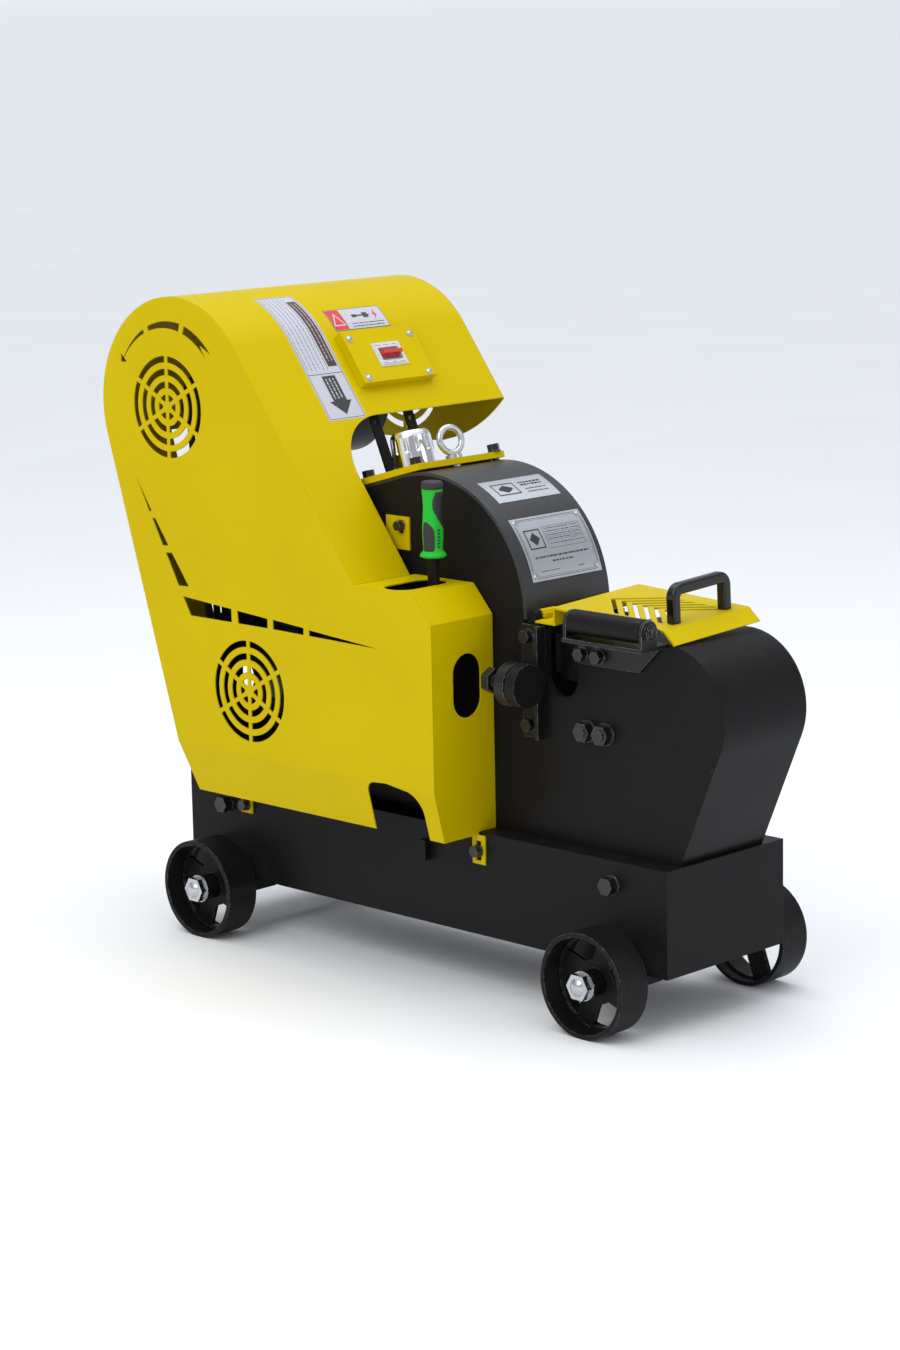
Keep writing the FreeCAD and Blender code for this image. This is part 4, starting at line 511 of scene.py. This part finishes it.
def arch_skin(round_mm, across, lift):
    """A point above the arch's plates: round_mm is millimetres round it, down from ARCH_START."""
    turn = math.radians(ARCH_START) - round_mm * MM / ARCH_RADIUS
    reach = ARCH_RADIUS + (PLATE_TOP + lift) * MM
    spot = ARCH_CENTRE + Vector((reach * math.cos(turn), 0.0, reach * math.sin(turn)))
    spot.y = PLATES_FAR_Y + (across - PLATES_FAR) * MM
    return spot


def round_down(degrees):
    """Millimetres round the arch from ARCH_START down to this angle."""
    return math.radians(ARCH_START - degrees) * ARCH_RADIUS / MM


def boxed_diamond(mesh, u0, u1, v0, v1, low, high):
    """A plain frame with a diamond in it, where a mark would be."""
    middle_u, middle_v = (u0 + u1) / 2, (v0 + v1) / 2
    frame_lines(mesh, arch_skin, u0, u1, v0, v1, 2.2, low, high)
    half_u, half_v = (u1 - u0) / 2 - 5, (v1 - v0) / 2 - 6
    diamond = [
        (middle_u - half_u, middle_v), (middle_u, middle_v + half_v),
        (middle_u + half_u, middle_v), (middle_u, middle_v - half_v),
    ]
    slab(mesh, arch_skin, diamond, low, high, step=4.0)


def upper_plate():
    """Generic print on the upper plate: a boxed diamond and rows of plain bars."""
    mesh = bmesh.new()
    top = round_down(68.2)
    low, high = -0.02, 0.12
    boxed_diamond(mesh, top + 11, top + 39, -47, 0, low, high)
    text_rows(mesh, arch_skin, (top + 13, top + 19), 12, 60, 3.6, low, high, 0, 41)
    text_rows(mesh, arch_skin, (top + 30, top + 37), 14, 58, 2.2, low, high, 0, 42)
    piece("upper_plate_print", mesh, [PLATE_INK], "frame")


def notched_border(mesh, u0, u1, v0, v1, width, low, high):
    """A rectangle of lines whose corners are cut in by quarter circles."""
    notch = 9.0
    bar(mesh, arch_skin, u0 + notch, u1 - notch, v0, v0 + width, low, high)
    bar(mesh, arch_skin, u0 + notch, u1 - notch, v1 - width, v1, low, high)
    bar(mesh, arch_skin, u0, u0 + width, v0 + notch, v1 - notch, low, high)
    bar(mesh, arch_skin, u1 - width, u1, v0 + notch, v1 - notch, low, high)
    for corner_u, inward_u in ((u0, 1), (u1, -1)):
        for corner_v, inward_v in ((v0, 1), (v1, -1)):
            arc = []
            for step in range(7):
                turn = math.radians(15.0 * step)
                arc.append((corner_u + inward_u * notch * math.cos(turn),
                            corner_v + inward_v * notch * math.sin(turn)))
            for (a, b), (c, d) in zip(arc, arc[1:]):
                inside = width * inward_v
                slab(mesh, arch_skin, [(a, b), (c, d), (c, d + inside), (a, b + inside)], low, high)


def lower_plate():
    """Generic print on the lower plate: a double border, a boxed diamond, a table and rows of dashes."""
    mesh = bmesh.new()
    top, end = round_down(43.7), round_down(14.7)
    near, far = -70, PLATES_FAR
    low, high = -0.02, 0.1
    for inset, width in ((3.5, 0.8), (6.0, 0.5)):
        notched_border(mesh, top + inset, end - inset, near + inset, far - inset, width, low, high)
    table_top, table_end = top + 20, top + 56
    frame_lines(mesh, arch_skin, table_top, table_end, -14, 66, 0.5, low, high)
    for line in (12, 18, 24):
        bar(mesh, arch_skin, table_top + line, table_top + line + 0.4, -13.5, 65.5, low, high)
    bar(mesh, arch_skin, table_top + 0.5, table_end - 0.5, 45, 45.4, low, high)
    rows = [table_top + step for step in (3, 8, 14.5, 20.5, 28)]
    text_rows(mesh, arch_skin, rows, -10, 42, 1.3, low, high, 0, 43)
    text_rows(mesh, arch_skin, rows, 48, 63, 1.3, low, high, 0, 44)
    boxed_diamond(mesh, table_top + 2, table_top + 34, -55, -21, low, high)
    text_rows(mesh, arch_skin, (top + 66,), -52, 64, 2.6, low, high, 0, 45)
    text_rows(mesh, arch_skin, (top + 74,), -18, 28, 2.2, low, high, 0, 46)
    text_rows(mesh, arch_skin, (top + 88,), -48, -8, 1.3, low, high, 0, 47)
    text_rows(mesh, arch_skin, (top + 88,), 34, 48, 1.3, low, high, 0, 48)
    piece("lower_plate_print", mesh, [PLATE_INK], "frame")


def plate_rivets():
    """Four domed rivets at the corners of the lower plate."""
    mesh = bmesh.new()
    for turn, across in ((41.6, -63), (41.6, 74.5), (16.8, -63), (16.8, 74.5)):
        spot = arch_skin(round_down(turn), across, 0.0)
        normal = spot - ARCH_CENTRE
        normal.y = 0.0
        disc(mesh, spot, normal, 3.2 * MM, -0.2 * MM, 1.8 * MM, dome=1.5 * MM)
    piece("plate_rivets", mesh, [MATERIALS["zinc"]], "frame")


# ---------------------------------------------------------------- lever grip

GRIP_LOW, GRIP_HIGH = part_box("lever_grip")
GRIP_AT = Vector(((GRIP_LOW[0] + GRIP_HIGH[0]) / 2, (GRIP_LOW[1] + GRIP_HIGH[1]) / 2, GRIP_LOW[2]))
GRIP_TALL = (GRIP_HIGH[2] - GRIP_LOW[2]) / MM
GREEN_TALL = 103.0
# The grip's waist and flares, as (height, radius) in millimetres.
GRIP_PROFILE = (
    (0.0, 16.0), (1.5, 19.6), (4.0, 20.3), (7.0, 18.2), (11.0, 14.8), (16.0, 14.4), (30.0, 14.9),
    (45.0, 15.0), (60.0, 14.2), (74.0, 13.4), (88.0, 13.8), (98.0, 14.8), (GREEN_TALL, 15.2),
)


def grip_radius(height):
    """The grip's radius in millimetres at a height above its foot."""
    for (z0, r0), (z1, r1) in zip(GRIP_PROFILE, GRIP_PROFILE[1:]):
        if height <= z1:
            share = (height - z0) / (z1 - z0)
            share = share * share * (3 - 2 * share)
            return r0 + (r1 - r0) * share
    return GRIP_PROFILE[-1][1]


def grip_skin(turn, height, lift):
    """A point on the slightly squared grip: turn in degrees seen from above, height in millimetres."""
    squash = 1.0 - 0.05 * math.cos(math.radians(4 * turn)) * min(1.0, max(0.0, height - 10) / 12)
    reach = (grip_radius(height) * squash + lift) * MM
    angle = math.radians(turn)
    return GRIP_AT + Vector((reach * math.cos(angle), reach * math.sin(angle), height * MM))


def grip_solid(mesh, levels):
    """A closed solid round the grip's axis. levels lists (height, lift) from the bottom up."""
    count = 48
    rings = [
        [mesh.verts.new(grip_skin(360.0 * n / count, height, lift)) for n in range(count)]
        for height, lift in levels
    ]
    close_rings(mesh, rings)


def grip_body():
    """The green grip, in place of the plain one."""
    mesh = bmesh.new()
    steps = 60
    grip_solid(mesh, [(GREEN_TALL * n / steps, 0.0) for n in range(steps + 1)])
    made = piece("grip_body", mesh, [MATERIALS["grip_green"]], "clutch_lever", 60.0)
    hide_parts("lever_grip")


def grip_cap():
    """The black end cap, with a rounded rim and a dimple in its top."""
    mesh = bmesh.new()
    foot = [(100.0, -1.5), (102.5, -1.0), (103.2, 0.1), (104.0, 0.5)]
    crown = ((4.0, 0.5), (1.6, -0.3), (0.3, -2.0), (0.0, -4.2), (0.4, -7.0), (2.6, -9.0), (3.6, -13.0))
    grip_solid(mesh, foot + [(GRIP_TALL - below, lift) for below, lift in crown])
    piece("grip_cap", mesh, [GRIP_BLACK], "clutch_lever", 60.0)


def grip_inlay(name, spans, lift=0.55):
    """A raised black inlay. spans lists (height, first turn, last turn) from the bottom up."""
    mesh = bmesh.new()
    count = 12
    last_row = len(spans) - 1
    sunk, rim = -1.2, 0.12

    def sheet(edge_lift, inner_lift):
        rows = []
        for number, (height, first, last) in enumerate(spans):
            row = []
            for n in range(count + 1):
                at_edge = number in (0, last_row) or n in (0, count)
                turn = first + (last - first) * n / count
                row.append(mesh.verts.new(grip_skin(turn, height, edge_lift if at_edge else inner_lift)))
            rows.append(row)
        return rows

    bottom, top = sheet(sunk, sunk), sheet(rim, lift)
    for r in range(last_row):
        for n in range(count):
            mesh.faces.new((top[r][n], top[r][n + 1], top[r + 1][n + 1], top[r + 1][n]))
            mesh.faces.new((bottom[r][n], bottom[r + 1][n], bottom[r + 1][n + 1], bottom[r][n + 1]))
        for n in (0, count):
            mesh.faces.new((bottom[r][n], bottom[r + 1][n], top[r + 1][n], top[r][n]))
    for r in (0, last_row):
        for n in range(count):
            mesh.faces.new((bottom[r][n], bottom[r][n + 1], top[r][n + 1], top[r][n]))
    piece(name, mesh, [GRIP_BLACK], "clutch_lever", 50.0)


def grip():
    """The whole grip: body, cap, two inlays and a row of thumb ribs."""
    grip_body()
    grip_cap()
    upper_end = 100.0
    upper = (
        (44.0, 34.0), (48.0, 20.0), (54.0, 2.0), (61.0, -17.0), (68.0, -33.0), (75.0, -44.0), (82.0, -47.0),
        (89.0, -42.0), (94.0, -34.0), (98.0, -29.0), (99.5, -24.0),
    )
    grip_inlay("grip_inlay_upper", [(height, first, upper_end) for height, first in upper])
    lower = (
        (10.5, -108.0, -44.0), (12.5, -114.0, -38.0), (16.0, -117.0, -35.0), (30.0, -117.0, -34.0),
        (42.0, -117.0, -37.0), (48.0, -115.0, -48.0), (52.0, -112.0, -66.0), (54.5, -107.0, -84.0),
    )
    grip_inlay("grip_inlay_lower", lower)
    rib_pitch = 5.0
    for number in range(6):
        base = 16.0 + rib_pitch * number
        rib = [(base, -18.0, 2.0), (base + 1.2, -19.0, 3.0), (base + 2.4, -18.0, 2.0)]
        grip_inlay(f"grip_rib_{number + 1}", rib, lift=0.7)


# ---------------------------------------------------------------- small hardware

def motor_details():
    """Four hexagon screws on washers, on the motor's near end."""
    near_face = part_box("motor_housing")[0][1]
    centre = Vector((HOOD_CENTRE.x, near_face, HOOD_CENTRE.z))
    outward = (0, -1, 0)
    screw_circle = 0.082
    mesh = bmesh.new()
    for number in range(4):
        turn = math.radians(45 + 90 * number)
        spot = centre + Vector((math.cos(turn), 0.0, math.sin(turn))) * screw_circle
        disc(mesh, spot, outward, 7.5 * MM, -1 * MM, 1.6 * MM, count=32)
        disc(mesh, spot, outward, 5.2 * MM, 1.2 * MM, 6.5 * MM, count=6)
    piece("motor_end_screws", mesh, [MATERIALS["zinc"]], "frame")


long_label()
power_label()
lid_screws()
breaker_print()
upper_plate()
lower_plate()
plate_rivets()
grip()
motor_details()


# ---------------------------------------------------------------- floor, light and camera

FLOOR_REACH = 150.0
FLOOR_PALE, FLOOR_PALEST = (0.9, 0.9, 0.9, 1.0), (0.92, 0.92, 0.92, 1.0)


def floor():
    """A pale matt floor that reaches far past the picture."""
    mesh = bmesh.new()
    bmesh.ops.create_grid(mesh, x_segments=2, y_segments=2, size=FLOOR_REACH)
    data = bpy.data.meshes.new("studio_floor")
    mesh.to_mesh(data)
    mesh.free()
    made = bpy.data.objects.new("studio_floor", data)
    SCENE.collection.objects.link(made)
    g = Graph("studio_floor")
    g.set("Base Color", g.blend(g.span(g.noise(1.5, 3.0), 0.3, 0.7), FLOOR_PALE, FLOOR_PALEST))
    g.set("Roughness", 0.85)
    data.materials.append(g.material)


def area_light(name, place, target, size, power, colour):
    """A soft rectangular lamp that points at a target."""
    lamp = bpy.data.lights.new(name, "AREA")
    lamp.shape = "RECTANGLE"
    lamp.size, lamp.size_y = size
    lamp.energy = power
    lamp.color = colour
    made = bpy.data.objects.new(name, lamp)
    made.location = place
    made.rotation_euler = (Vector(target) - Vector(place)).to_track_quat("-Z", "Y").to_euler()
    SCENE.collection.objects.link(made)


# How bright the sky is at each height, from the horizon (0) to straight up (1).
SKY_BANDS = ((0.0, 0.86), (0.07, 1.3), (0.28, 0.42), (0.5, 0.5), (0.85, 1.3))


def sky():
    """A cool white sky in bands, so that bright metal has something to mirror."""
    world = bpy.data.worlds.new("studio_sky")
    SCENE.world = world
    world.use_nodes = True
    nodes = world.node_tree.nodes
    links = world.node_tree.links
    backdrop = nodes["Background"]
    backdrop.inputs["Color"].default_value = (0.9, 0.94, 1.0, 1.0)
    heading = nodes.new("ShaderNodeTexCoord")
    split = nodes.new("ShaderNodeSeparateXYZ")
    bands = nodes.new("ShaderNodeValToRGB")
    stops = bands.color_ramp.elements
    stops[0].position, stops[1].position = SKY_BANDS[0][0], SKY_BANDS[-1][0]
    for position, _ in SKY_BANDS[1:-1]:
        stops.new(position)
    for stop, (position, bright) in zip(stops, SKY_BANDS):
        stop.color = (bright, bright, bright, 1.0)
    links.new(heading.outputs["Generated"], split.inputs["Vector"])
    links.new(split.outputs["Z"], bands.inputs["Fac"])
    links.new(bands.outputs["Color"], backdrop.inputs["Strength"])


WARM_WHITE, COOL_WHITE = (1.0, 0.98, 0.94), (0.94, 0.97, 1.0)
AZIMUTH, ELEVATION, ROLL = (math.radians(angle) for angle in (44.815, 11.225, -1.10))
CAMERA_AT = Vector((3.54090, -3.63524, 1.45494))


def camera():
    """A long-lens camera that looks down at the machine from the near front corner."""
    data = bpy.data.cameras.new("photo_camera")
    data.lens = 88.865
    data.sensor_width = 36.0
    data.sensor_fit = "AUTO"
    data.clip_end = 400.0
    made = bpy.data.objects.new("photo_camera", data)
    SCENE.collection.objects.link(made)
    forward = Vector((
        -math.sin(AZIMUTH) * math.cos(ELEVATION),
        math.cos(AZIMUTH) * math.cos(ELEVATION),
        -math.sin(ELEVATION),
    ))
    level_right = Vector((math.cos(AZIMUTH), math.sin(AZIMUTH), 0.0))
    level_up = level_right.cross(forward)
    right = math.cos(ROLL) * level_right + math.sin(ROLL) * level_up
    up = -math.sin(ROLL) * level_right + math.cos(ROLL) * level_up
    facing = Matrix((right, up, -forward)).transposed().to_4x4()
    made.matrix_world = Matrix.Translation(CAMERA_AT) @ facing
    SCENE.camera = made


floor()
area_light("key", (0.6, -3.4, 3.4), (0.0, 0.0, 0.5), (2.6, 2.6), 62.0, WARM_WHITE)
area_light("overhead", (-0.3, 0.4, 3.8), (0.0, 0.0, 0.3), (3.5, 3.0), 45.0, COOL_WHITE)
area_light("front", (4.2, 0.8, 2.2), (0.2, 0.0, 0.4), (1.6, 1.6), 14.0, COOL_WHITE)
sky()
camera()
SCENE.view_settings.view_transform = "Standard"
